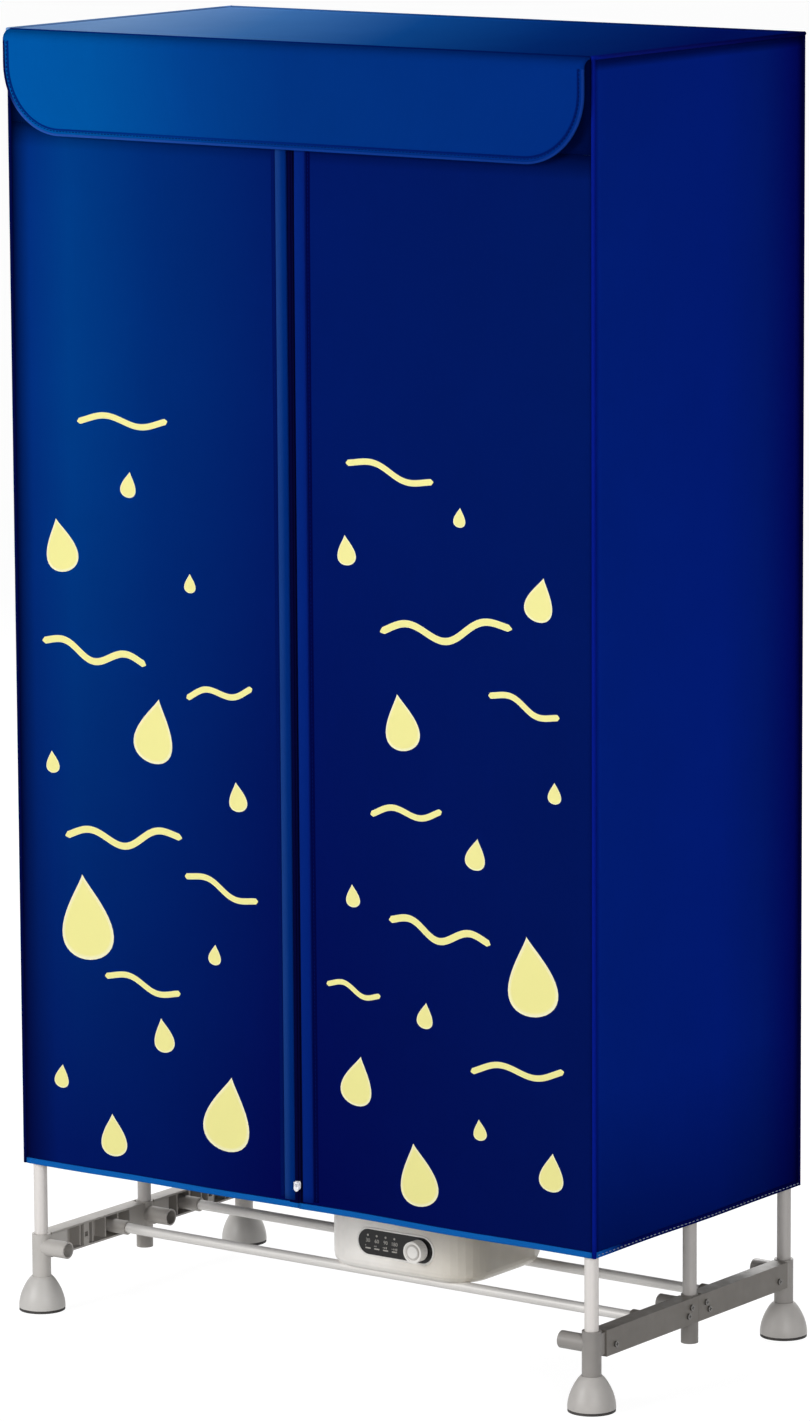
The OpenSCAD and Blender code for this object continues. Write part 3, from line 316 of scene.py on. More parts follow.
def plated(name, colour, rough=0.35):
    f = Finish(name, colour, Metallic=1.0, Roughness=rough)
    marks = f.noise(1, 4, f.stretch(f.place(), (300, 1400, 1400)))
    return f.done(f.shade(marks, 0.75, 1.15), marks, 0.00002,
                  f.spread(marks, 0.3, 0.7, rough - 0.1, rough + 0.15))


print("kinds of hard finish ready")

# %% [markdown]
# ### One finish for each hard part
# Most of the greys are given two colours, and the lighter one towards the left is painted light.
# The arms are the frame's plastic written darker, as painted shade.
# Screws and shafts differ only in tone and in how sharply they mirror.

# %% Mix the hard finishes
foot_grey = moulded("foot grey", (190, 186, 182), 0.42, left=(200, 197, 193))
frame_grey = moulded("frame grey", (146, 142, 138), 0.42, left=(190, 186, 181))
# The arms are the frame's plastic written darker, as painted shade.
arm_grey = moulded("arm grey", (110, 105, 99), left=(172, 167, 161))
hub_grey = moulded("hub grey", (128, 124, 120), left=(168, 163, 157))
# The tubes behind the front ones get painted shade.
tube_silver = drawn_tube("tube silver", (222, 217, 213), 0.6)
rail_silver = drawn_tube("rail silver", (224, 221, 217))
pad_black = cast_rubber("pad black", (46, 43, 42))
screw_grey = plated("screw grey", (120, 118, 116))
# Painted light and shade: the case is lighter at its left and darker and warmer at its right.
case_white = moulded("case white", (204, 196, 180), 0.36, grain=0.0005, depth=0.00003,
                     left=(250, 246, 240), fade=(0.16, 0.01), Coat_Weight=0.15)
grille_white = moulded("grille white", (206, 199, 190), 0.42)
shaft_steel = plated("shaft steel", (190, 190, 192), 0.25)
switch_black = moulded("switch black", (40, 40, 42), 0.5)
motor_steel = plated("motor steel", (172, 172, 174), 0.4)
fan_grey = moulded("fan grey", (70, 70, 73), 0.5)
cutout_tan = moulded("cut-out tan", (198, 176, 140), 0.55)
bush_black = cast_rubber("bush black", (44, 44, 44))
print("hard finishes", len(bpy.data.materials))

# %% [markdown]
# The heater core and the board have a pattern of their own: brazed fins with a dull, stained
# sheen, and a green board with fine copper lines under its varnish.

# %% Core and board
def brazed(name, colour):
    f = Finish(name, colour, Metallic=0.9, Roughness=0.45)
    stain = f.spread(f.noise(45, 5), 0.4, 0.7)
    fins = (f.parts(f.place())[2] * (2 * math.pi / 0.002)).sine()
    return f.done(f.between(stain * 0.5, f.colour, linear(140, 120, 96)), fins, 0.0001)


def etched_board(name, colour):
    f = Finish(name, colour, Roughness=0.35, Coat_Weight=0.4)
    x, _, z = f.parts(f.place())
    cross = (x * (2 * math.pi / 0.0025)).sine() * (z * (2 * math.pi / 0.004)).sine()
    lines = f.spread(cross, 0.35, 0.4)
    return f.done(f.between(lines * 0.6, f.colour, linear(52, 128, 70)), lines, 0.00003)


core_metal = brazed("core metal", (200, 200, 200))
board_green = etched_board("board green", (20, 84, 44))
print("core and board done")

# %% [markdown]
# ## Dress the CAD nodes
# A finish goes into the node's material slot.

# %% Give the hard nodes their finish
def dress(node, material):
    node.data.materials.clear()
    node.data.materials.append(material)


finish_of = {
    "foot_pads": pad_black, "foot_": foot_grey, "corner_": frame_grey, "arm_": arm_grey,
    "mid_frame": frame_grey, "top_frame": frame_grey, "hub_": hub_grey, "screws": screw_grey,
    "rail_": rail_silver, "tube_": tube_silver, "upper_tubes": tube_silver,
    "mid_rod": tube_silver, "top_rod": tube_silver, "heater_core": core_metal,
    "heater_": case_white, "outlet_grille": grille_white, "knob_shaft": shaft_steel,
    "motor_shaft": shaft_steel, "encoder_plunger": switch_black, "control_board": board_green,
    "fan_motor": motor_steel, "fan_impeller": fan_grey, "thermal_cutout": cutout_tan,
    "cord_gland": bush_black,
}
dressed = 0
for name, node in nodes.items():
    found = [m for start, m in finish_of.items() if name.startswith(start)]
    if found:
        dress(node, found[0])
        dressed += 1
print("dressed", dressed, "of", len(nodes))

# %% [markdown]
# ## Cloth finishes
# The cover is coated polyester: a tight plain weave under a thin film that gives it a soft shine.
# The weave is built from its threads. The sine of the place along each direction gives the round
# of a thread, and a chequer of the two decides which one lies on top. The threads follow the flat
# cut of the cloth and not the place in the room.

# %% Woven cloth
def woven(name, colour, thread=0.0007, weave=0.00006, lit=None):
    """Plain weave. For a piece with a sheen, lit is a function that gives the colour of a place."""
    f = Finish(name, colour, Roughness=0.6, Specular_IOR_Level=0.0)
    flat = f.flat()
    u, v, _ = f.parts(flat)
    across, along = u / thread, v / thread
    warp = (across * math.pi).sine().size()
    weft = (along * math.pi).sine().size()
    turn = ((across.floor() + along.floor()) % 2.0).size()
    height = warp * turn + weft * (1 - turn)
    cloud = f.noise(7, 3, flat)
    slub = f.noise(1, 2, f.stretch(flat, (240, 18, 1)))
    tone = f.spread(cloud * 0.7 + slub * 0.3, 0.25, 0.75, 0.95, 1.05)
    return f.done(f.scaled(lit(f) if lit else f.colour, tone), height + cloud * 0.5, weave,
                  f.spread(cloud, 0.3, 0.7, 0.55, 0.65))


print("weave ready")

# %% [markdown]
# ### Sheens
# A sheen is painted light and shade: it is lighter where the film on the cloth catches the light
# and darker along the seams, so no side is one plain blue. It is a ramp of blues that is walked
# along the cabinet. It is tied to the cloth and not to the camera, so it stays in its place from
# every side.

# %% Walk a ramp
def ramp(f, walk, *stops):
    """Colours along a walk from 0 to 1, each one written as a picture shows it."""
    return f.node("ValToRGB", {"stops": [(at, linear(*c)) for at, *c in stops]}, {0: walk})


ACROSS = 1.25                             # ramp walked for each metre of the cabinet's width
DEEP = 2.4                                # and of its depth, so that a ramp fits its side


def sheen(walk, *stops):
    """Painted light and shade that follow the place on the cabinet. walk says how fast the ramp is
    walked along X and along Y, and where it stands in the middle of the cabinet."""
    def lit(f):
        x, y, _ = f.parts(f.place())
        return ramp(f, x * walk[0] + y * walk[1] + walk[2], *stops)
    return lit


print("width walked", round(ACROSS * 2 * SIDE, 2), "depth walked", round(DEEP * 2 * REAR, 2))

# %% [markdown]
# #### The front
# The front halves swing, so their sheens follow the place that a point has while the cabinet is
# shut.

# %% Sheens of the front
def front_sheen(f):
    """Painted sheen, brighter at the upper left, and painted shade along the left edge, towards the
    hem and behind the lower edge of the flap, where the flap's shadow falls."""
    x, z, _ = f.parts(f.rest())
    walk = x * ACROSS + 0.5
    high = ramp(f, walk, (0.0, 1, 14, 62), (0.03, 2, 46, 124), (0.1, 1, 58, 132),
                (0.25, 1, 43, 117), (0.5, 2, 24, 97), (1.0, 2, 24, 94))
    low = ramp(f, walk, (0.0, 3, 8, 56), (0.06, 3, 24, 96), (0.25, 2, 22, 92),
               (0.47, 3, 9, 78), (0.7, 3, 15, 82), (1.0, 3, 19, 85))
    # Painted shadow under and behind the flap.
    shade = f.spread(z, flap_low.z - 0.016, flap_low.z + 0.008, 1, 0.4)
    return f.scaled(f.between(f.spread(z, 0.2, 1.1), low, high), shade)


def groove_sheen(f):
    """Painted shade in the sunk seam beside each welt, darker to the right of the zip."""
    x = f.parts(f.rest())[0]
    return f.between(f.spread(x, zip_x - 0.01, zip_x + 0.01), linear(2, 19, 86), linear(2, 6, 64))


def welt_sheen(f):
    """Painted light and shade: a painted highlight along the left welt's outer edge, and the right
    one a little redder and darker at its outer edge.
    """
    x = f.parts(f.rest())[0]
    return ramp(f, (x - zip_x) * 20 + 0.5, (0.0, 32, 66, 134), (0.2, 20, 56, 126),
                (0.3, 2, 42, 114), (0.5, 2, 30, 104), (0.62, 8, 38, 122),
                (0.85, 4, 34, 116), (1.0, 10, 20, 104))


print("front sheens ready")

# %% [markdown]
# #### Piping, sides, top and flap
# These stay in place or turn as one piece, so the place in the room is enough.

# %% Sheens of the other pieces
def piping_sheen(f):
    """Painted light and shade: lightest at the right front corner, navy at the left and towards the
    rear.
    """
    x, y, _ = f.parts(f.place())
    deep = ramp(f, y * DEEP + 0.5, (0.0, 6, 26, 132), (0.1, 14, 26, 120), (0.6, 10, 16, 100),
                (1.0, 3, 5, 62))
    return f.between(f.spread(x, 0.0, -0.3), deep, linear(3, 10, 66))


def side_sheen(f):
    """Painted light and shade: a little lighter near the front corner, darker to the rear, at the
    hem and at the seams.
    """
    _, y, z = f.parts(f.place())
    across = ramp(f, y * DEEP + 0.5, (0.0, 3, 14, 108), (0.025, 3, 37, 138),
                  (0.6, 3, 35, 142), (0.8, 3, 32, 130), (0.92, 3, 19, 116), (1.0, 3, 8, 95))
    low = f.spread(z, 0.18, 0.36, 0.5, 0.9) + f.spread(z, 0.36, 0.8, 0.0, 0.1)
    low = low * f.spread(z, side_high.z - 0.012, side_high.z - 0.004, 1.0, 0.5)
    return f.scaled(across, low)


# Painted reflection: the top, seen almost edge on, is pale where it mirrors the bright room at the
# left, and deep navy to the right.
top_sheen = sheen((ACROSS, 0.65, 0.5), (0.0, 128, 168, 222), (0.25, 70, 126, 196),
                  (0.5, 18, 82, 162), (0.75, 3, 50, 130), (1.0, 2, 22, 104))
# Painted sheen on the flap, its bound edge and its seams, lighter to the left; the bound edge is
# navy at its left end, painted shade.
flap_sheen = sheen((ACROSS, 0, 0.5), (0.0, 1, 86, 164), (0.15, 1, 82, 158),
                   (0.33, 2, 63, 140), (0.5, 2, 50, 126), (1.0, 2, 43, 124))
edge_sheen = sheen((ACROSS, 0, 0.5), (0.0, 6, 8, 72), (0.012, 6, 8, 72), (0.03, 40, 84, 170),
                   (0.5, 18, 58, 142), (1.0, 16, 52, 132))
flap_seam_sheen = sheen((ACROSS, 0, 0.5), (0.0, 2, 40, 120), (0.3, 1, 44, 124),
                        (0.6, 2, 28, 104), (1.0, 2, 24, 96))
# The bright binding of the front runs a little way round the corner.
side_hem_sheen = sheen((0, DEEP, 0.5), (0.0, 20, 104, 196), (0.05, 10, 76, 168),
                       (0.13, 3, 16, 90), (1.0, 3, 6, 64))
print("other sheens ready")

# %% [markdown]
# ### One cloth for each piece
# Narrow pieces get a finer thread than the cover, as ribbon and binding have.

# %% Weave the cloths
RIBBON = 0.0005                           # width of a thread in ribbon and binding
front_cloth = woven("front cloth", (1, 24, 96), lit=front_sheen)
side_cloth = woven("side cloth", (2, 25, 108), lit=side_sheen)
top_cloth = woven("top cloth", (4, 52, 118), lit=top_sheen)
top_piping_cloth = woven("top piping cloth", (4, 52, 118), RIBBON, lit=top_sheen)
flap_cloth = woven("flap cloth", (1, 50, 130), lit=flap_sheen)
flap_seam_cloth = woven("flap seam cloth", (1, 40, 120), RIBBON, lit=flap_seam_sheen)
edge_cloth = woven("edge cloth", (18, 58, 142), RIBBON, lit=edge_sheen)
seam_cloth = woven("seam cloth", (4, 12, 84), RIBBON)
piping_cloth = woven("piping cloth", (6, 24, 122), RIBBON, lit=piping_sheen)
welt_cloth = woven("welt cloth", (2, 40, 122), RIBBON, lit=welt_sheen)
groove_cloth = woven("groove cloth", (2, 12, 74), RIBBON, lit=groove_sheen)
hem_cloth = woven("hem cloth", (18, 98, 180), thread=0.0006, weave=0.0001)
side_hem_cloth = woven("side hem cloth", (3, 10, 74), thread=0.0006, lit=side_hem_sheen)
zip_black = woven("zip black", (6, 8, 58), RIBBON)
thread_blue = woven("thread blue", (4, 26, 92), 0.0003)
thread_white = woven("thread white", (150, 158, 182), 0.0003)
print("cloth finishes done")

# %% [markdown]
# ## Meshes for cloth
# Three kinds of mesh make every cloth piece: a sheet with two faces and a rim, a band that
# follows a line with its own section, and a row of stitches. Each of them also stores how far a
# point is along and across the cloth, which is what the weave follows, and where it lies while
# the cabinet is shut, which is what the sheen follows when the front opens.

# %% Make a mesh object
def make(name, points, faces, flats, material=None):
    mesh = bpy.data.meshes.new(name)
    mesh.from_pydata([tuple(p) for p in points], [], faces)
    flat, rest = mesh.uv_layers.new(name="flat"), mesh.uv_layers.new(name="rest")
    for loop in mesh.loops:
        spot = points[loop.vertex_index]
        flat.data[loop.index].uv = flats[loop.vertex_index]
        rest.data[loop.index].uv = spot[0], spot[2]
    if material:
        mesh.materials.append(material)
    for polygon in mesh.polygons:
        polygon.use_smooth = True
    mesh.update()
    return show(name, mesh)


print("mesh maker ready")

# %% [markdown]
# ### Faces
# A face is a list of point numbers, in the order that makes it look outwards. The faces of a sheet
# follow a grid of points, and those of a band run round from one ring of points to the next.

# %% Join points into faces
def grid_faces(rows, columns, start=0, flip=False):
    faces = []
    for i in range(rows - 1):
        for j in range(columns - 1):
            a = start + i * columns + j
            face = (a, a + 1, a + columns + 1, a + columns)
            faces.append(face[::-1] if flip else face)
    return faces


def tube_faces(start, rings, sides, closed=False):
    """Faces of a tube whose rings of points begin at start, with two ends unless it is closed."""
    faces = []
    for i in range(rings if closed else rings - 1):
        here, there = start + i * sides, start + (i + 1) % rings * sides
        for j in range(sides):
            k = (j + 1) % sides
            faces.append((here + j, here + k, there + k, there + j))
    if not closed:
        faces.append(tuple(start + j for j in reversed(range(sides))))
        faces.append(tuple(start + (rings - 1) * sides + j for j in range(sides)))
    return faces


print("faces of a grid of 3 by 3 points", len(grid_faces(3, 3)))

# %% [markdown]
# ### Sheets
# A sheet starts from a function that gives the points of its outer face. The inner face lies one
# thickness of cloth behind it, square to the surface, and a rim closes the edge.

# %% Make a sheet
def sheet(name, point, across, up, step, thick, material):
    """A cloth sheet with two faces. point(s, t) is on its outer face, for s and t from 0 to 1, with
    s to the right and t up as seen from outside."""
    columns = max(2, round(across / step)) + 1
    rows = max(2, round(up / step)) + 1
    outer = [[Vector(point(j / (columns - 1), i / (rows - 1))) for j in range(columns)]
             for i in range(rows)]
    inner = []
    for i in range(rows):
        for j in range(columns):
            du = outer[i][min(j + 1, columns - 1)] - outer[i][max(j - 1, 0)]
            dv = outer[min(i + 1, rows - 1)][j] - outer[max(i - 1, 0)][j]
            inner.append(outer[i][j] - du.cross(dv).normalized() * thick)
    points = [p for row in outer for p in row] + inner
    count = rows * columns
    faces = grid_faces(rows, columns) + grid_faces(rows, columns, count, True)
    rim = list(range(columns)) + [i * columns + columns - 1 for i in range(1, rows)]
    rim += [count - 1 - j for j in range(1, columns)]
    rim += [i * columns for i in range(rows - 2, 0, -1)]
    for a, b in zip(rim, rim[1:] + rim[:1]):
        faces.append((b, a, a + count, b + count))
    flats = [(j / (columns - 1) * across, i / (rows - 1) * up)
             for i in range(rows) for j in range(columns)]
    return make(name, points, faces, flats * 2, material)


print("sheets ready")

# %% [markdown]
# ### Bands
# Piping, welts and bindings are alike to a mesh: a small section is carried along a line, and the
# outward direction of the cloth keeps it from twisting.

# %% Make a band
def facing(out, line):
    """An outward direction for each point of a line. One direction stands for all of them."""
    return out if isinstance(out, list) else [out] * len(line)


def band(name, line, out, section, material, closed=False):
    """A band that follows line. section is a closed loop of (sideways, outwards) steps, in metres,
    and out is the outward direction, or a list of one for each point."""
    line, outs = [Vector(p) for p in line], facing(out, line)
    count = len(line)
    points, flats, walked, around = [], [], 0.0, [0.0]
    for (a, b), (c, d) in zip(section, section[1:]):
        around.append(around[-1] + math.hypot(c - a, d - b))
    for i, p in enumerate(line):
        ahead_of = line[(i + 1) % count] if closed or i < count - 1 else p
        behind = line[i - 1] if closed or i > 0 else p
        run = (ahead_of - behind).normalized()
        out = Vector(outs[i]).normalized()
        sideways = out.cross(run).normalized()
        out = run.cross(sideways).normalized()
        if i:
            walked += (p - line[i - 1]).length
        for (a, b), turn in zip(section, around):
            points.append(p + sideways * a + out * b)
            flats.append((turn, walked))
    return make(name, points, tube_faces(0, count, len(section), closed), flats, material)


print("bands ready")

# %% [markdown]
# ### Lines and sections
# A cord is round, and a folded strip of cloth is flat below and round above. These two sections
# serve every band that is sewn on.

# %% Draw lines and sections
def steps(start, end, count):
    """Evenly spaced numbers from start to end."""
    return [start + i * (end - start) / count for i in range(count + 1)]


def straight(start, end, step=0.01):
    """Evenly spaced points from start to end."""
    start, end = Vector(start), Vector(end)
    count = max(1, round((end - start).length / step))
    return [start.lerp(end, i / count) for i in range(count + 1)]


def ring(radius, sides, flat=1.0):
    """A round section, flattened outwards by the factor flat."""
    turns = [2 * math.pi * k / sides for k in range(sides)]
    return [(radius * math.cos(a), radius * flat * math.sin(a)) for a in turns]


def pillow(width, height, sides=14):
    """A section that is flat below and round above, for a welt or a binding."""
    return [(width / 2 * math.cos(a), height * math.sin(a) ** 0.55)
            for a in (math.pi * k / sides for k in range(sides + 1))]


print("points of a welt's section", len(pillow(WELT, PIPE)))

# %% [markdown]
# ### Stitches
# A painted line looks flat from near by, so each stitch is a small arch of thread with thin ends.
# The last helper lets a group of pieces ride on the same body.

# %% Sew stitches
def stitches(name, line, out, material, length=0.0032, pitch=0.0046, wide=0.00045):
    """Stitches along line: short threads that come up out of the cloth and go in again."""
    line, outs = [Vector(p) for p in line], facing(out, line)
    points, faces, flats = [], [], []
    spots, walked, target = [], 0.0, pitch / 2
    for i in range(len(line) - 1):
        step = line[i + 1] - line[i]
        while target < walked + step.length:
            share = (target - walked) / step.length
            place = line[i] + step * share
            spots.append((place, step.normalized(), Vector(outs[i]).normalized()))
            target += pitch
        walked += step.length
    for spot, run, out in spots:
        sideways = out.cross(run)
        faces += tube_faces(len(points), 5, 6)
        for k in range(5):
            a = k / 4 * math.pi
            middle = spot - run * (length / 2 * math.cos(a)) + out * (wide * 0.6 * math.sin(a))
            radius = wide * (0.35 + 0.65 * math.sin(a))
            for m in range(6):
                b = m / 6 * 2 * math.pi
                points.append(middle + sideways * radius * math.cos(b) + out * radius * math.sin(b))
                flats.append((b * wide, spot.z + k * 0.0005))
    return make(name, points, faces, flats, material)


def fasten(pieces, body, first=None):
    """Let pieces ride on a body, and number their names from first on."""
    for place, piece in enumerate(pieces):
        if first:
            piece.name = piece.name.split(".")[0] + "_" + str(first + place)
        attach(piece, body)


print("mesh helpers ready")

# %% [markdown]
# ## How the cloth lies
# Between the stiff edges of the frame the cloth is nearly flat, but never quite. Long, shallow
# waves run down from the top, where the weight hangs, and grow a little towards the hem. They fade
# to nothing at the edges that are sewn to piping.

# %% Shape of the hanging cloth
def hang(s, t, waves, phase, depth=0.0016, held_left=True, held_right=True):
    """How far the cloth stands out at s across and t up."""
    hold = math.sin(math.pi * min(s, 0.5)) if held_left else 1
    hold *= math.sin(math.pi * max(s, 0.5)) if held_right else 1
    low = 0.45 + 0.55 * (1 - t) ** 1.5
    fold = math.sin(2 * math.pi * waves * s + phase + 0.8 * math.sin(2.1 * t + phase))
    slow = math.sin(math.pi * (1.3 * s + 0.7 * t) + phase * 2)
    top = min(1, (1 - t) * 12)
    return depth * hold * top * low * (0.65 * fold + 0.55 * slow)


def front_y(x, z, side):
    """Outer face of a front half: side is -1 for the left one and 1 for the right one."""
    edge = corner_x - PIPE
    zip_edge = left_high.x if side < 0 else right_low.x
    s = (x + edge) / (zip_edge + edge) if side < 0 else (x - zip_edge) / (edge - zip_edge)
    t = (z - HEM) / (SEAM - HEM)
    s, t = min(max(s, 0), 1), min(max(t, 0), 1)
    return FRONT - hang(s, t, 1.5, 0.6 if side < 0 else 2.4, 0.0022, side < 0, side > 0)


print("front at mid height", round(front_y(-0.2, 0.7, -1), 4), round(front_y(0.2, 0.7, 1), 4))

# %% [markdown]
# ## The two front halves
# Each half is sewn in along the top and at its corner, and comes free along the zip and the hem.
# In the CAD model it turns as a stiff panel.


def opens(piece):
    """Bake the piece's place and turn into its mesh."""
    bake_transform(piece)


FRONT_HALVES = ((-1, "door_left", left_low, left_high), (1, "door_right", right_low, right_high))
halves = {}
for side, body, low, high in FRONT_HALVES:
    width, height = high.x - low.x, SEAM - HEM

    def on_front(s, t, side=side, low=low, width=width, height=height):
        x, z = low.x + s * width, HEM + t * height
        return (x, front_y(x, z, side), z)

    cloth = sheet(body + "_cloth", on_front, width, height, step=0.008, thick=CLOTH,
                  material=front_cloth)
    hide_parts(body)
    halves[body] = cloth
    print(body, "sheet", round(width, 3), "by", round(height, 3), "m")

# %% [markdown]
# ### Welts and hem binding
# A rolled band of the same cloth runs up each side of the zip and hides it. A brighter binding
# closes the lower edge. Both are bands with a pillow section, with a row of stitches beside them.

# %% Sew the bands on
SEWN_TOP = SEAM - 0.002
HEM_BAND = 0.007
TOUCH = 0.0003                            # half of the gap between the two halves at the hem
OUT = (0, -1, 0)
trims = {}
for side, body, low, high in FRONT_HALVES:
    edge = high.x if side < 0 else low.x
    middle = edge + side * WELT / 2
    line = [(middle, front_y(middle, z, side) + 0.0003, z)
            for z in steps(HEM + HEM_BAND + 0.002, SEWN_TOP, 120)]
    welt = band(body + "_welt", line, OUT, pillow(WELT, 0.0029), welt_cloth)
    seam_x = edge + side * (WELT + 0.0035)
    seam = [(seam_x, front_y(seam_x, z, side), z) for z in steps(HEM + 0.01, SEWN_TOP, 300)]
    seam_row = stitches(body + "_welt_stitches", seam, OUT, thread_blue)
    # A thin dark strip beside each welt, painted shade for its sunk seam.
    groove = band(body + "_welt_seam", [(x, y + 0.0002, z) for x, y, z in seam], OUT,
                  pillow(0.006, 0.0005, 8), groove_cloth)
    ends = (low.x, zip_x - TOUCH) if side < 0 else (zip_x + TOUCH, high.x)
    hem_line = [(x, front_y(x, HEM, side) + 0.0004, HEM + HEM_BAND / 2 - 0.0005)
                for x in steps(*ends, 60)]
    hem = band(body + "_hem", hem_line, OUT, pillow(HEM_BAND, 0.0016), hem_cloth)
    sewn = [(x, y - 0.0005, z + HEM_BAND / 2 + 0.001) for x, y, z in hem_line
            if abs(x - zip_x) > WELT]
    hem_row = stitches(body + "_hem_stitches", sewn, OUT, thread_blue)
    trims[body] = [welt, seam_row, groove, hem, hem_row]
    print(body, "bands", [round(v, 4) for v in (middle, seam_x)])

# %% [markdown]
# ### The printed pattern
# The front has a pale yellow print of drops and waves, for water and warm air. Such a print is a
# film on top of the cloth, so each motif is a thin mesh that follows the cloth, with a paler rim
# where the film ends.

# %% Print film
def print_film(name, colour, rim_colour):
    f = Finish(name, colour, Roughness=0.4, Specular_IOR_Level=0.4)
    grain = f.noise(900)
    rim = f.spread(f.parts(f.flat())[0], 0.86, 0.97)
    tint = f.between(rim, f.shade(grain, 0.95, 1.0), linear(*rim_colour))
    return f.done(tint, grain, 0.00005, f.spread(grain, 0.3, 0.7, 0.36, 0.48))


film_yellow = print_film("film yellow", (238, 232, 148), (240, 236, 196))
print("film ready")

# %% [markdown]
# #### Drops and waves
# A drop is one closed outline. A wave is a line whose swing fades towards its ends. Both can be
# turned, so that no two motifs look alike.

# %% Draw a drop and a wave
def turned_by(x, z, turn):
    return x * math.cos(turn) - z * math.sin(turn), x * math.sin(turn) + z * math.cos(turn)


def drop_outline(size, turn):
    points = []
    for k in range(40):
        a = 2 * math.pi * k / 40
        x = 0.52 * size * math.sin(a) * math.sin(a / 2) ** 1.4
        points.append(turned_by(x, 0.5 * size * math.cos(a) + 0.1 * size, turn))
    return points


def wave_line(length, swing, count, turn):
    points = []
    for k in range(41):
        t = k / 40
        fade = 0.4 + 0.6 * math.sin(math.pi * t)
        z = swing * math.sin(2 * math.pi * count * t) * fade
        points.append(turned_by((t - 0.5) * length, z, turn))
    return points


print("points of a drop", len(drop_outline(1, 0)), "of a wave", len(wave_line(1, 0.1, 1, 0)))

# %% [markdown]
# #### Where they lie
# The motifs are spread one by one, larger ones with room around them, and none crosses the zip.

# %% List the motifs
FILM = 0.00025                            # how far the film stands off the cloth
MARGIN = 0.004                            # kept free along the edges of the half
drops = [                                 # x, z and size in mm, turn in degrees
    (-335, 905, 62, 12), (-238, 985, 30, -8), (-150, 880, 22, 0), (-352, 655, 26, 5),
    (-205, 700, 76, -10), (-85, 640, 34, 8), (-305, 470, 100, 6), (-120, 455, 24, -4),
    (-195, 350, 40, 10), (-345, 285, 28, -6), (-105, 265, 88, -8), (-270, 222, 50, 4),
    (70, 935, 34, 6), (225, 985, 22, -4), (330, 900, 50, -12), (145, 745, 64, 10),
    (350, 690, 24, 0), (245, 610, 36, -8), (75, 545, 26, 4), (320, 475, 90, 8), (175, 420, 30, -6),
    (78, 330, 58, -10), (250, 300, 24, 6), (345, 262, 44, -4), (165, 232, 72, 10),
]
waves = [                                 # x, z, length, swing in mm, number of waves, turn, width
    (-245, 1060, 130, 8, 1.0, 4, 7), (-290, 790, 150, 10, 1.5, -6, 8),
    (-110, 760, 95, 8, 1.0, 12, 7), (-250, 580, 170, 11, 1.5, 5, 8),
    (-110, 535, 105, 8, 1.0, -10, 7), (-225, 410, 110, 8, 1.0, -4, 7),
    (130, 1030, 120, 8, 1.0, -6, 7), (205, 860, 180, 12, 1.5, 6, 8), (310, 785, 95, 8, 1.0, -10, 7),
    (150, 650, 100, 8, 1.0, 8, 7), (195, 520, 140, 10, 1.5, -5, 8), (300, 375, 125, 9, 1.0, 7, 7),
    (75, 440, 75, 7, 1.0, -4, 6),
]
print("drops", len(drops), "waves", len(waves))

# %% [markdown]
# #### Lay the film
# A drop is laid as rings of its outline, each one smaller, down to a point in its middle. A wave is
# laid as rows across its line. So the film has points enough to follow the waves of the cloth.

# %% Lay the film on the cloth
def film_on(name, side, low_x, high_x):
    """All motifs of one front half, cut off at the edges of the half."""
    points, faces, flats = [], [], []

    def lay(x, z, edge):
        points.append((x, front_y(x, z, side) - FILM, z))
        flats.append((edge, 0))

    def add(rows, middle=None):
        """Rows of points, each with how far out it is. With a middle the rows are closed rings."""
        start, columns = len(points), len(rows[0])
        for row in rows:
            for x, z, edge in row:
                lay(min(max(x, low_x + MARGIN), high_x - MARGIN), z, edge)
        for i in range(len(rows) - 1):
            for j in range(columns if middle else columns - 1):
                a, b = (start + i * columns + k for k in (j, (j + 1) % columns))
                faces.append((a, a + columns, b + columns, b))
        if middle:
            lay(*middle, 0)
            for j in range(columns):
                faces.append((start + j, start + (j + 1) % columns, len(points) - 1))

    for *sizes, turn in drops:
        x, z, size = (v / 1000 for v in sizes)
        if low_x < x < high_x:
            outline = drop_outline(size, math.radians(turn))
            count = max(3, round(size / 0.012))
            shares = [(k + 1) / count for k in range(count)]
            add([[(x + u * dx, z + u * dz, u) for dx, dz in outline] for u in shares], (x, z))
    for *sizes, count, turn, wide in waves:
        x, z, length, swing, wide = (v / 1000 for v in (*sizes, wide))
        if low_x < x < high_x:
            line = wave_line(length, swing, count, math.radians(turn))
            rows = []
            for k, (dx, dz) in enumerate(line):
                run = (Vector(line[min(k + 1, 40)]) - Vector(line[max(k - 1, 0)])).normalized()
                share = min(k, 40 - k) / 40 * length / (wide / 2)
                half = wide / 2 * math.sqrt(max(0.02, 1 - (1 - min(share, 1)) ** 2))
                rows.append([(x + dx - run.y * half * e, z + dz + run.x * half * e, abs(e))
                             for e in (-1, -0.5, 0, 0.5, 1)])
            add(rows)
    return make(name, points, faces, flats, film_yellow)


for side, body, low, high in FRONT_HALVES:
    film = film_on(body + "_print", side, low.x if side < 0 else low.x + WELT + 0.008,
                   high.x - WELT - 0.008 if side < 0 else high.x)
    trims[body].append(film)
    print(film.name, len(film.data.polygons), "faces")
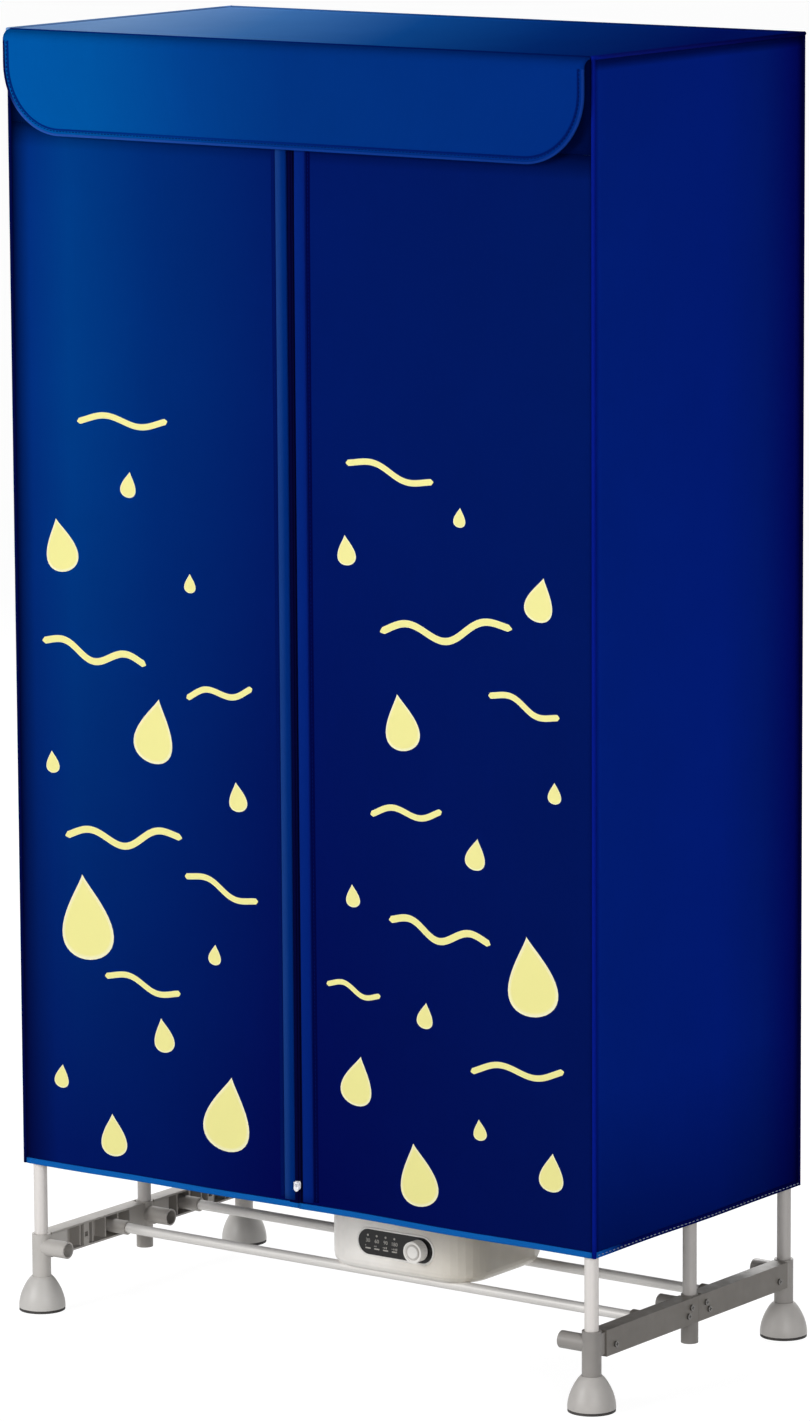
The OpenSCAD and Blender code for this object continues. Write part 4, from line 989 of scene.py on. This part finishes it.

# %% [markdown]
# ### The zip
# A zip is two tapes with a row of coil on each. The coil here is a row of small loops, which is
# what shows between the welts. The tapes lie behind the front halves.

# %% Tapes and coils
tape_top = DOOR_TOP + 0.006
TAPE = 0.0008                             # thickness of a tape
COIL_PITCH = 0.0022
COIL_REACH = 0.0026
for side, body, _, _ in FRONT_HALVES:
    node = body.replace("door", "zip")
    low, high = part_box(node)
    start, end = (low.x, zip_x - 0.0002) if side < 0 else (zip_x + 0.0002, high.x)

    def on_tape(s, t, start=start, end=end, y=high.y - TAPE):
        return (start + s * (end - start), y, HEM + 0.001 + t * (tape_top - HEM - 0.001))

    tape = sheet(node + "_tape", on_tape, end - start, tape_top - HEM, step=0.0065, thick=TAPE,
                 material=zip_black)
    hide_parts(node)
    inner = high.x if side < 0 else low.x
    points, faces, flats = [], [], []
    loops = int((tape_top - low.z) / COIL_PITCH)
    for k in range(loops):
        z = low.z + COIL_PITCH / 2 + k * COIL_PITCH
        faces += tube_faces(len(points), 7, 5)
        for m in range(7):
            a = math.pi * m / 6
            x = inner + side * COIL_REACH * (1 - math.sin(a))
            y = low.y + 0.001 - 0.0009 * math.cos(a)
            for n in range(5):
                b = 2 * math.pi * n / 5
                points.append((x + side * 0.0003 * math.cos(b),
                               y + 0.0003 * math.sin(b) * math.cos(a), z + 0.00075 * math.sin(b)))
                flats.append((m * 0.0005, z))
    coil = make(node + "_coil", points, faces, flats, zip_black)
    for piece in (tape, coil):
        trims[body].append(piece)
    print(node, "coil loops", loops)

# %% Bake the halves and their trims
for body, cloth in halves.items():
    opens(cloth)
    for trim in trims[body]:
        opens(trim)
    width = cloth.dimensions.x
    print(body, "pieces", 1 + len(trims[body]))

# %% [markdown]
# ## Fixed panels of the cover
# The back, the sides, the top and the strip behind the flap are sheets as well. The top sags a
# little between the side frames that carry it.

# %% Sheets that stay
side_size = side_high - side_low
back_size = back_high - back_low
top_size = top_high - top_low
head_size = head_high - head_low
HEAD_HEM = SEAM + 0.0002                  # lower edge of the strip, just above the front halves


def on_side(side):
    def point(s, t):
        stand = hang(s, t, 1.5, 1.1 + side, 0.0016)
        return side * (SIDE + stand), side * side_size.y * (s - 0.5), HEM + t * (side_high.z - HEM)
    return point


def on_back(s, t):
    stand = hang(s, t, 2.5, 0.4, 0.002)
    return back_size.x * (0.5 - s), REAR + stand, HEM + t * (back_high.z - HEM)


def on_top(s, t):
    sag = 0.0024 * math.sin(math.pi * s) ** 0.8 * math.sin(math.pi * t) ** 0.8
    ripple = 0.0004 * math.sin(9 * s + 2 * t) * math.sin(math.pi * s) * math.sin(math.pi * t)
    return top_low.x + s * top_size.x, top_low.y + t * top_size.y, top_high.z - sag + ripple


def on_header(s, t):
    return head_low.x + s * head_size.x, FRONT, HEAD_HEM + t * (head_high.z - HEAD_HEM)


SIDE_FRAMES = ["top_frame_left", "top_frame_right"]
fixed = [                                 # shape, width, height, finish, node, slot, what holds it
    ("side_left_cloth", on_side(-1), side_size.y, side_high.z - HEM, side_cloth,
     "cover_left", "side_cloth", SIDE_FRAMES),
    ("side_right_cloth", on_side(1), side_size.y, side_high.z - HEM, side_cloth,
     "cover_right", "side_cloth", SIDE_FRAMES),
    ("back_cloth", on_back, back_size.x, back_high.z - HEM, side_cloth,
     "cover_back", "side_cloth", SIDE_FRAMES),
    ("top_cloth", on_top, top_size.x, top_size.y, top_cloth,
     "cover_top", "top_cloth", SIDE_FRAMES),
    ("header_cloth", on_header, head_size.x, head_high.z - SEAM, front_cloth,
     "cover_header", "front_cloth", ["cover_top"]),
]
for name, point, width, height, material, node, slot, held_by in fixed:
    piece = sheet(name, point, width, height, step=0.012, thick=CLOTH, material=material)
    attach(piece, "root")
    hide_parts(node)
    print(name, round(width, 3), "by", round(height, 3))

# %% [markdown]
# ### Piping, hem and stitches of the fixed panels
# Piping is a cord wrapped in cloth and caught in the seam. It stiffens the edges and draws a line
# down each corner, with painted light on it at the right front corner.

# %% Run the piping round
pipe_z = pipe_high.z - PIPE
piping = []
for sx in (-1, 1):
    x = sx * corner_x
    runs = [("piping_corner", (x, y, HEM), (x, y, pipe_z - 0.0005), (sx, sy, 0), piping_cloth)
            for sy, y in ((-1, -corner_y), (1, corner_y))]
    runs.append(("piping_top_side", (x, -corner_y - PIPE, pipe_z), (x, corner_y + PIPE, pipe_z),
                 (sx, 0, 1), piping_cloth if sx > 0 else top_piping_cloth))
    if sx > 0:
        runs.append(("piping_top_rear", (x, corner_y, pipe_z), (-x, corner_y, pipe_z), (0, 1, 1),
                     top_piping_cloth))
    for name, start, end, out, material in runs:
        piping.append(band(name, straight(start, end, 0.02), out, ring(PIPE, 16), material))
hems = []
for name, point, count, out, material in (("side", on_side(-1), 40, (-1, 0, 0), side_hem_cloth),
                                          ("side", on_side(1), 40, (1, 0, 0), side_hem_cloth),
                                          ("back", on_back, 60, (0, 1, 0), seam_cloth)):
    inward, lift = -0.0004 * Vector(out), Vector((0, 0, HEM_BAND / 2 - 0.0005))
    line = [Vector(point(i / count, 0)) + inward + lift for i in range(count + 1)]
    hems.append(band(name + "_hem", line, out, pillow(HEM_BAND, 0.0016), material))
    sewn = [p + Vector(out) * 0.0017 for p in line]
    hems.append(stitches(name + "_hem_stitches", sewn, out, thread_white,
                         length=0.004, pitch=0.0075, wide=0.0006))
fasten(piping, "root", 1)
fasten(hems, "root", 1 + len(piping))
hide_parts("cover_piping")
print("piping runs", len(piping), "hem pieces", len(hems))

# %% [markdown]
# ## The flap
# The flap is two layers of the lighter blue cloth with a bound edge, sewn in along the front of
# the top. It comes forward over the edge, turns down in a soft roll and hangs clear of the front.
# Its lower corners are round. Each row of the sheet is as wide as the outline is at that height.

# %% Hang the flap
FLAP_HALF = flap_high.x
FLAP_FACE = flap_low.y
FLAP_THICK = 0.0024
FLAP_R = 0.079                            # radius of the lower corners
ROLL = 0.012                              # radius over the front edge
FLAP_START = 0.0018                       # kept back from the seam, to clear the top when turned up
fall = flap_high.z - flap_low.z
shelf = FRONT - FLAP_FACE - ROLL          # flat part in front of the seam
curl = math.pi / 2 * ROLL
run = shelf + curl + fall - ROLL


def flap_at(x, walked):
    """A point of the flap's face, walked down from its seam."""
    if walked < shelf:
        return Vector((x, FRONT - walked, flap_high.z))
    a = (walked - shelf) / ROLL
    if a < math.pi / 2:
        return Vector((x, FLAP_FACE + ROLL * (1 - math.sin(a)),
                       flap_high.z - ROLL * (1 - math.cos(a))))
    down = walked - shelf - curl
    ease = 0.0008 * math.sin(math.pi * down / (fall - ROLL)) * math.sin(5 * x / FLAP_HALF + 1)
    return Vector((x, FLAP_FACE + abs(ease), flap_high.z - ROLL - down))


def flap_width(z):
    """Half of the flap's width at a height."""
    drop = max(0, flap_low.z + FLAP_R - z)
    return FLAP_HALF - FLAP_R + math.sqrt(max(0, FLAP_R ** 2 - drop ** 2))


def on_flap(s, t):
    walked = FLAP_START + (run - FLAP_START) * (1 - math.sin(t * math.pi / 2))
    return flap_at((2 * s - 1) * flap_width(flap_at(0, walked).z), walked)


print("flap falls", round(fall, 3), "m")

# %% [markdown]
# ### Binding and seam of the flap
# The binding follows the flap's edge, with a groove and a row of stitches a few millimetres
# inside. One half of the edge is worked out and the other is its mirror image.

# %% Bind the flap
flap = sheet("flap_cloth", on_flap, 2 * FLAP_HALF, run, step=0.006, thick=FLAP_THICK,
             material=flap_cloth)
rim_y = FLAP_FACE + FLAP_THICK / 2
side_fall = fall - ROLL - FLAP_R
half_rim = [Vector((-FLAP_HALF, rim_y, z))
            for z in steps(flap_high.z - ROLL, flap_high.z - ROLL - side_fall, 80)]
for a in steps(0, math.pi / 2, 24)[1:]:
    half_rim.append(Vector((-FLAP_HALF + FLAP_R * (1 - math.cos(a)), rim_y,
                            flap_low.z + FLAP_R * (1 - math.sin(a)))))
rim = half_rim + straight(half_rim[-1], (FLAP_HALF - FLAP_R, rim_y, flap_low.z))[1:-1]
rim += [Vector((-p.x, p.y, p.z)) for p in reversed(half_rim)]


def along_rim(inwards, step_out):
    """The line that lies inside the flap's edge by inwards and stands off its face by step_out."""
    points = []
    for i, p in enumerate(rim):
        run_on = (rim[min(i + 1, len(rim) - 1)] - rim[max(i - 1, 0)]).normalized()
        toward = run_on.cross(Vector((0, 1, 0)))
        points.append(p + toward * inwards + Vector((0, -step_out - FLAP_THICK / 2, 0)))
    return points


binding = band("flap_binding", along_rim(0.0013, -FLAP_THICK / 2), OUT, ring(0.0017, 12, 1.05),
               edge_cloth)
groove = band("flap_groove", along_rim(0.0072, -0.0002), OUT, pillow(0.0022, 0.0006, 8),
              flap_seam_cloth)
row = stitches("flap_stitches", along_rim(0.0052, 0.0002), OUT, thread_blue)
seam_ends = [(x, FRONT - 0.0004, flap_high.z) for x in (-FLAP_HALF + 0.001, FLAP_HALF - 0.001)]
seam = band("flap_seam", straight(*seam_ends, 0.02), (0, 0, 1), ring(0.0018, 12, 0.75),
            flap_seam_cloth)
fasten((flap, binding, seam, groove, row), "flap")
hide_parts("flap")
print("flap", round(2 * FLAP_HALF, 3), "by", round(run, 3), "m")

# %% [markdown]
# ## Slider and pull
# The slider is a small white casting. Its body widens towards the top, where it leads the two rows
# apart, and a bail on it holds the pull.

# %% Model the slider
def gloss_white(name, colour):
    f = Finish(name, colour, Roughness=0.25, Coat_Weight=0.6, Coat_Roughness=0.1)
    return f.done(f.shade(f.noise(260), 0.93, 1.03), f.noise(900, 2), 0.00002)


slider_white = gloss_white("slider white", (246, 247, 252))


def plate(name, outline, y_front, y_back, material, bevel, segments=3):
    """A plate with the given outline in X and Z, and rounded edges."""
    count = len(outline)
    points = [(x, y, z) for y in (y_front, y_back) for x, z in outline]
    faces = [tuple(range(count)), tuple(reversed(range(count, 2 * count)))]
    faces += [(i, (i + 1) % count, (i + 1) % count + count, i + count)[::-1] for i in range(count)]
    piece = make(name, points, faces, [(p[0], p[2]) for p in points], material)
    edge = piece.modifiers.new("round", "BEVEL")
    edge.width, edge.segments, edge.limit_method = bevel, segments, "ANGLE"
    return piece


slider_low, slider_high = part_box("zip_slider")
pull_low, pull_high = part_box("zip_pull")
slider_size, slider_middle = slider_high - slider_low, (slider_low + slider_high) / 2
PLATE = 0.0012                            # thickness of the slider's two plates
ROUNDED = 0.0004                          # radius of their edges and of the pull's
mid_x, bottom, top = slider_middle.x, slider_low.z, slider_high.z
pin_y = (pull_low.y + pull_high.y) / 2
plate_y = pin_y + 0.0024
shield = []
for k in range(32):
    a = 2 * math.pi * k / 32
    x, z = math.cos(a), math.sin(a)
    x = slider_size.x / 2 * math.copysign(abs(x) ** 0.45, x) * (0.9 + 0.1 * z)
    z = slider_size.z / 2 * math.copysign(abs(z) ** 0.6, z)
    shield.append((mid_x + x, slider_middle.z + z))
front_plate = plate("slider_front", shield, plate_y, plate_y + PLATE, slider_white, ROUNDED)
back_plate = plate("slider_back", shield, slider_high.y - PLATE, slider_high.y, slider_white,
                   ROUNDED)
wedge = [(mid_x - 0.0003, bottom + 0.001), (mid_x + 0.0003, bottom + 0.001),
         (mid_x + 0.0003, top - 0.001), (mid_x - 0.0003, top - 0.001)]
post = plate("slider_post", wedge, plate_y + 0.001, slider_high.y - 0.001, slider_white,
             bevel=0.0001)
arch = [                                  # y, z, and the outward direction in y and z
    (plate_y + 0.0004, top - 0.0004, 0, 1), (plate_y - 0.002, top - 0.0003, -0.6, 0.8),
    (slider_low.y + 0.0007, top - 0.001, -1, 0.2), (slider_low.y + 0.0006, top - 0.0024, -1, -0.3),
    (plate_y - 0.002, top - 0.0039, -0.5, -1), (plate_y + 0.0004, top - 0.004, 0, -1),
]
strap = [(-0.0016, -0.0004), (0.0016, -0.0004), (0.0016, 0.0004), (-0.0016, 0.0004)]
bail = band("slider_bail", [(mid_x, y, z) for y, z, _, _ in arch],
            [(0, y, z) for _, _, y, z in arch], strap, slider_white)
fasten((front_plate, back_plate, post, bail), "zip_slider")
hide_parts("zip_slider")
print("slider", round(slider_size.x * 1000, 1), "mm wide")

# %% Model the pull
half = (pull_high.x - pull_low.x) / 2
tab_top = pull_high.z - 0.0056
outline = [(-half, tab_top)]
outline += [(-half * math.cos(a), pull_low.z + half * (1 - math.sin(a)))
            for a in steps(0, math.pi, 16)]
outline.append((half, tab_top))
tab = plate("pull_tab", [(mid_x + x, z) for x, z in outline], pull_low.y, pull_high.y,
            slider_white, ROUNDED)
fork = []
for x in (mid_x - half + 0.0008, mid_x + half - 0.0008):
    line = straight((x, pin_y, pull_high.z - 0.0004), (x, pin_y, tab_top - 0.0008), 0.001)
    fork.append(band("pull_fork", line, OUT, ring(0.00075, 10), slider_white))
line = straight(*((mid_x + x, pin_y, pull_high.z - 0.0008) for x in (-half, half)), 0.001)
pin = band("pull_pin", line, (0, 0, 1), ring(0.0008, 12), slider_white)
fasten([tab, pin] + fork, "zip_pull", 1)
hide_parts("zip_pull")
print("pull", round((pull_high.z - pull_low.z) * 1000, 1), "mm long")

# %% [markdown]
# ## Control panel
# The dark panel is a glossy plate with a thin light rim, a painted highlight on the edge of the
# case around it. On it are small pale marks: a row of minutes, level bars and dots. They are thin
# raised prints, so they are real geometry.

# %% Finish the panel
def gloss_black(name, colour):
    f = Finish(name, colour, Roughness=0.3, Specular_IOR_Level=0.35)
    smear = f.noise(120, 4)
    return f.done(f.shade(smear, 0.8, 1.3), smear, 0.00001, f.spread(smear, 0.3, 0.75, 0.25, 0.4))


def ringed(name, colour, middle):
    """Knob finish with a greyer ring in its groove."""
    f = Finish(name, colour, Roughness=0.3, Coat_Weight=0.2)
    x, _, z = f.parts(f.place())
    away = ((x - middle.x) ** 2.0 + (z - middle.z) ** 2.0) ** 0.5
    groove = f.spread(away, 0.0066, 0.0072) * f.spread(away, 0.0092, 0.0098, 1.0, 0.0)
    grain = f.noise(700)
    tint = f.between(groove * 0.55, f.shade(grain, 0.95, 1.04), linear(150, 143, 136))
    return f.done(tint, grain, 0.00002)


panel_low, panel_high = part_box("control_panel")
knob_low, knob_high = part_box("control_knob")
panel_black = gloss_black("panel black", (12, 11, 12))
mark_white = moulded("mark white", (178, 174, 168), 0.5)
painted_highlight_rim = moulded("rim white", (246, 243, 238), 0.3)
knob_ringed = ringed("knob ringed", (248, 245, 240), (knob_low + knob_high) / 2)
dress(nodes["control_knob"], knob_ringed)
dress(nodes["control_panel"], panel_black)
panel_z = (panel_low.z + panel_high.z) / 2
panel_r = (panel_high.z - panel_low.z) / 2
rim_r = panel_r + 0.0006
rim_line = []
for side, centre in ((1, panel_high.x - panel_r), (-1, panel_low.x + panel_r)):
    for a in steps(-math.pi / 2, math.pi / 2, 24):
        rim_line.append((centre + side * rim_r * math.cos(a), panel_low.y + 0.0002,
                         panel_z + side * rim_r * math.sin(a)))
# A bright ring round the panel: a painted highlight on the edge of the case's recess.
panel_rim = band("panel_rim", rim_line, OUT, ring(0.0013, 12), painted_highlight_rim, closed=True)
fasten([panel_rim], "root")
print("panel", round((panel_high.x - panel_low.x) * 1000), "mm wide")

# %% Print the marks
COLUMN = 0.0125                           # from one column of marks to the next
marks = []


def mark(name, x, z, w, h):
    """A small raised print with round ends, w wide and h high."""
    r, outline = min(w, h) / 2, []
    for sx, sz, start in ((1, 1, 0), (-1, 1, 90), (-1, -1, 180), (1, -1, 270)):
        for k in range(7):
            a = math.radians(start + 15 * k)
            outline.append((x + sx * (w / 2 - r) + r * math.cos(a),
                            panel_z + z + sz * (h / 2 - r) + r * math.sin(a)))
    marks.append(plate(name, outline[::-1], panel_low.y - 0.00025, panel_low.y + 0.0001,
                       mark_white, bevel=0.00005, segments=1))


left = panel_low.x + 0.014
for column in range(4):
    x = left + column * COLUMN
    mark("mark_dot", x, 0.0078, 0.0026, 0.0026)
    mark("mark_bar", x, -0.0076, 0.0075, 0.0016)
    for step in range(column + 1):
        mark("mark_step", x - 0.0033 + step * 0.0022, -0.0045, 0.0012, 0.0012 + step * 0.0007)
for column, minutes in enumerate((30, 60, 90, 180)):
    letters = bpy.data.curves.new("minutes", "FONT")
    letters.body = str(minutes)
    letters.size, letters.extrude = 0.0062, 0.00012
    letters.align_x, letters.align_y = "CENTER", "CENTER"
    letters.materials.append(mark_white)
    words = show("mark_minutes", letters)
    words.location = left + column * COLUMN, panel_low.y - 0.0001, panel_z + 0.0014
    words.rotation_euler = math.pi / 2, 0, 0
    marks.append(words)
fasten(marks, "root", 1)
print("marks", len(marks))

# %% [markdown]
# ## Floor, light and background
# The floor and the background are plain white, and the floor keeps the cabinet's shadow. The white
# is given only to rays that come from the camera, a mirror or glass, so that no extra light falls
# on the cabinet. One broad softbox stands at the front left, one at the front right, and one
# behind and above, which draws the rear edges.

# %% Build the studio
def seen_rays(tree):
    """1 for rays from the camera, a mirror or glass, and 0 for all others."""
    path = tree.nodes.new("ShaderNodeLightPath")
    camera_ray, *others = (Wire(path.outputs[kind + " Ray"])
                           for kind in ("Is Camera", "Is Glossy", "Is Transmission"))
    return sum(others, camera_ray).capped()


REACH = 30
SHADOW_KEPT = 0.22                        # share of the plain floor that the camera sees
corners = [(-REACH, -REACH, 0), (REACH, -REACH, 0), (REACH, REACH, 0), (-REACH, REACH, 0)]
floor = make("floor", corners, [(0, 1, 2, 3)], [(0, 0), (1, 0), (1, 1), (0, 1)])
ground = Finish("ground", (0, 0, 0), Roughness=0.9, Specular_IOR_Level=0.1)
ground.set("Base Color", (0.86, 0.86, 0.86))
glow = ground.node("Emission", None, {"Color": (1, 1, 1), "Strength": 1.2})
mixed = ground.node("MixShader", None, {0: seen_rays(ground.tree) * (1 - SHADOW_KEPT),
                                        1: Wire(ground.shader.outputs[0]), 2: glow})
ground.put(ground.tree.nodes["Material Output"].inputs["Surface"], mixed)
floor.data.materials.append(ground.material)
floor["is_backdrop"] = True

world = bpy.data.worlds.new("studio")
bpy.context.scene.world = world
world.use_nodes = True
sky = world.node_tree
for old in list(sky.nodes):
    sky.nodes.remove(old)
both = sky.nodes.new("ShaderNodeMixShader")
sky.links.new(seen_rays(sky).socket, both.inputs[0])
for place, strength in ((1, 0.18), (2, 1.0)):
    plain = sky.nodes.new("ShaderNodeBackground")
    plain.inputs["Color"].default_value = 1, 1, 1, 1
    plain.inputs["Strength"].default_value = strength
    sky.links.new(plain.outputs[0], both.inputs[place])
out = sky.nodes.new("ShaderNodeOutputWorld")
sky.links.new(both.outputs[0], out.inputs[0])

for name, place, aim, size, power in (
        ("key", (-1.3, -4.2, 1.9), (-0.1, 0, 0.75), (1.6, 1.6), 102),
        ("fill", (3.9, -3.0, 1.7), (0.3, 0, 0.75), (1.4, 1.8), 79),
        ("rim", (-1.5, 3.2, 3.2), (0, 0, 1.2), (2.0, 1.5), 150)):
    lamp = bpy.data.lights.new(name, "AREA")
    lamp.shape, lamp.size, lamp.size_y = "RECTANGLE", *size
    lamp.energy = power
    softbox = show(name, lamp)
    softbox.location = place
    softbox.rotation_euler = (Vector(aim) - Vector(place)).to_track_quat("-Z", "Y").to_euler()
bpy.context.scene.view_settings.view_transform = "Standard"
print("lamps", len(bpy.data.lights))

# %% Write the sizes and finish
low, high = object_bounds()
print("visual box", [round(v, 4) for v in high - low])
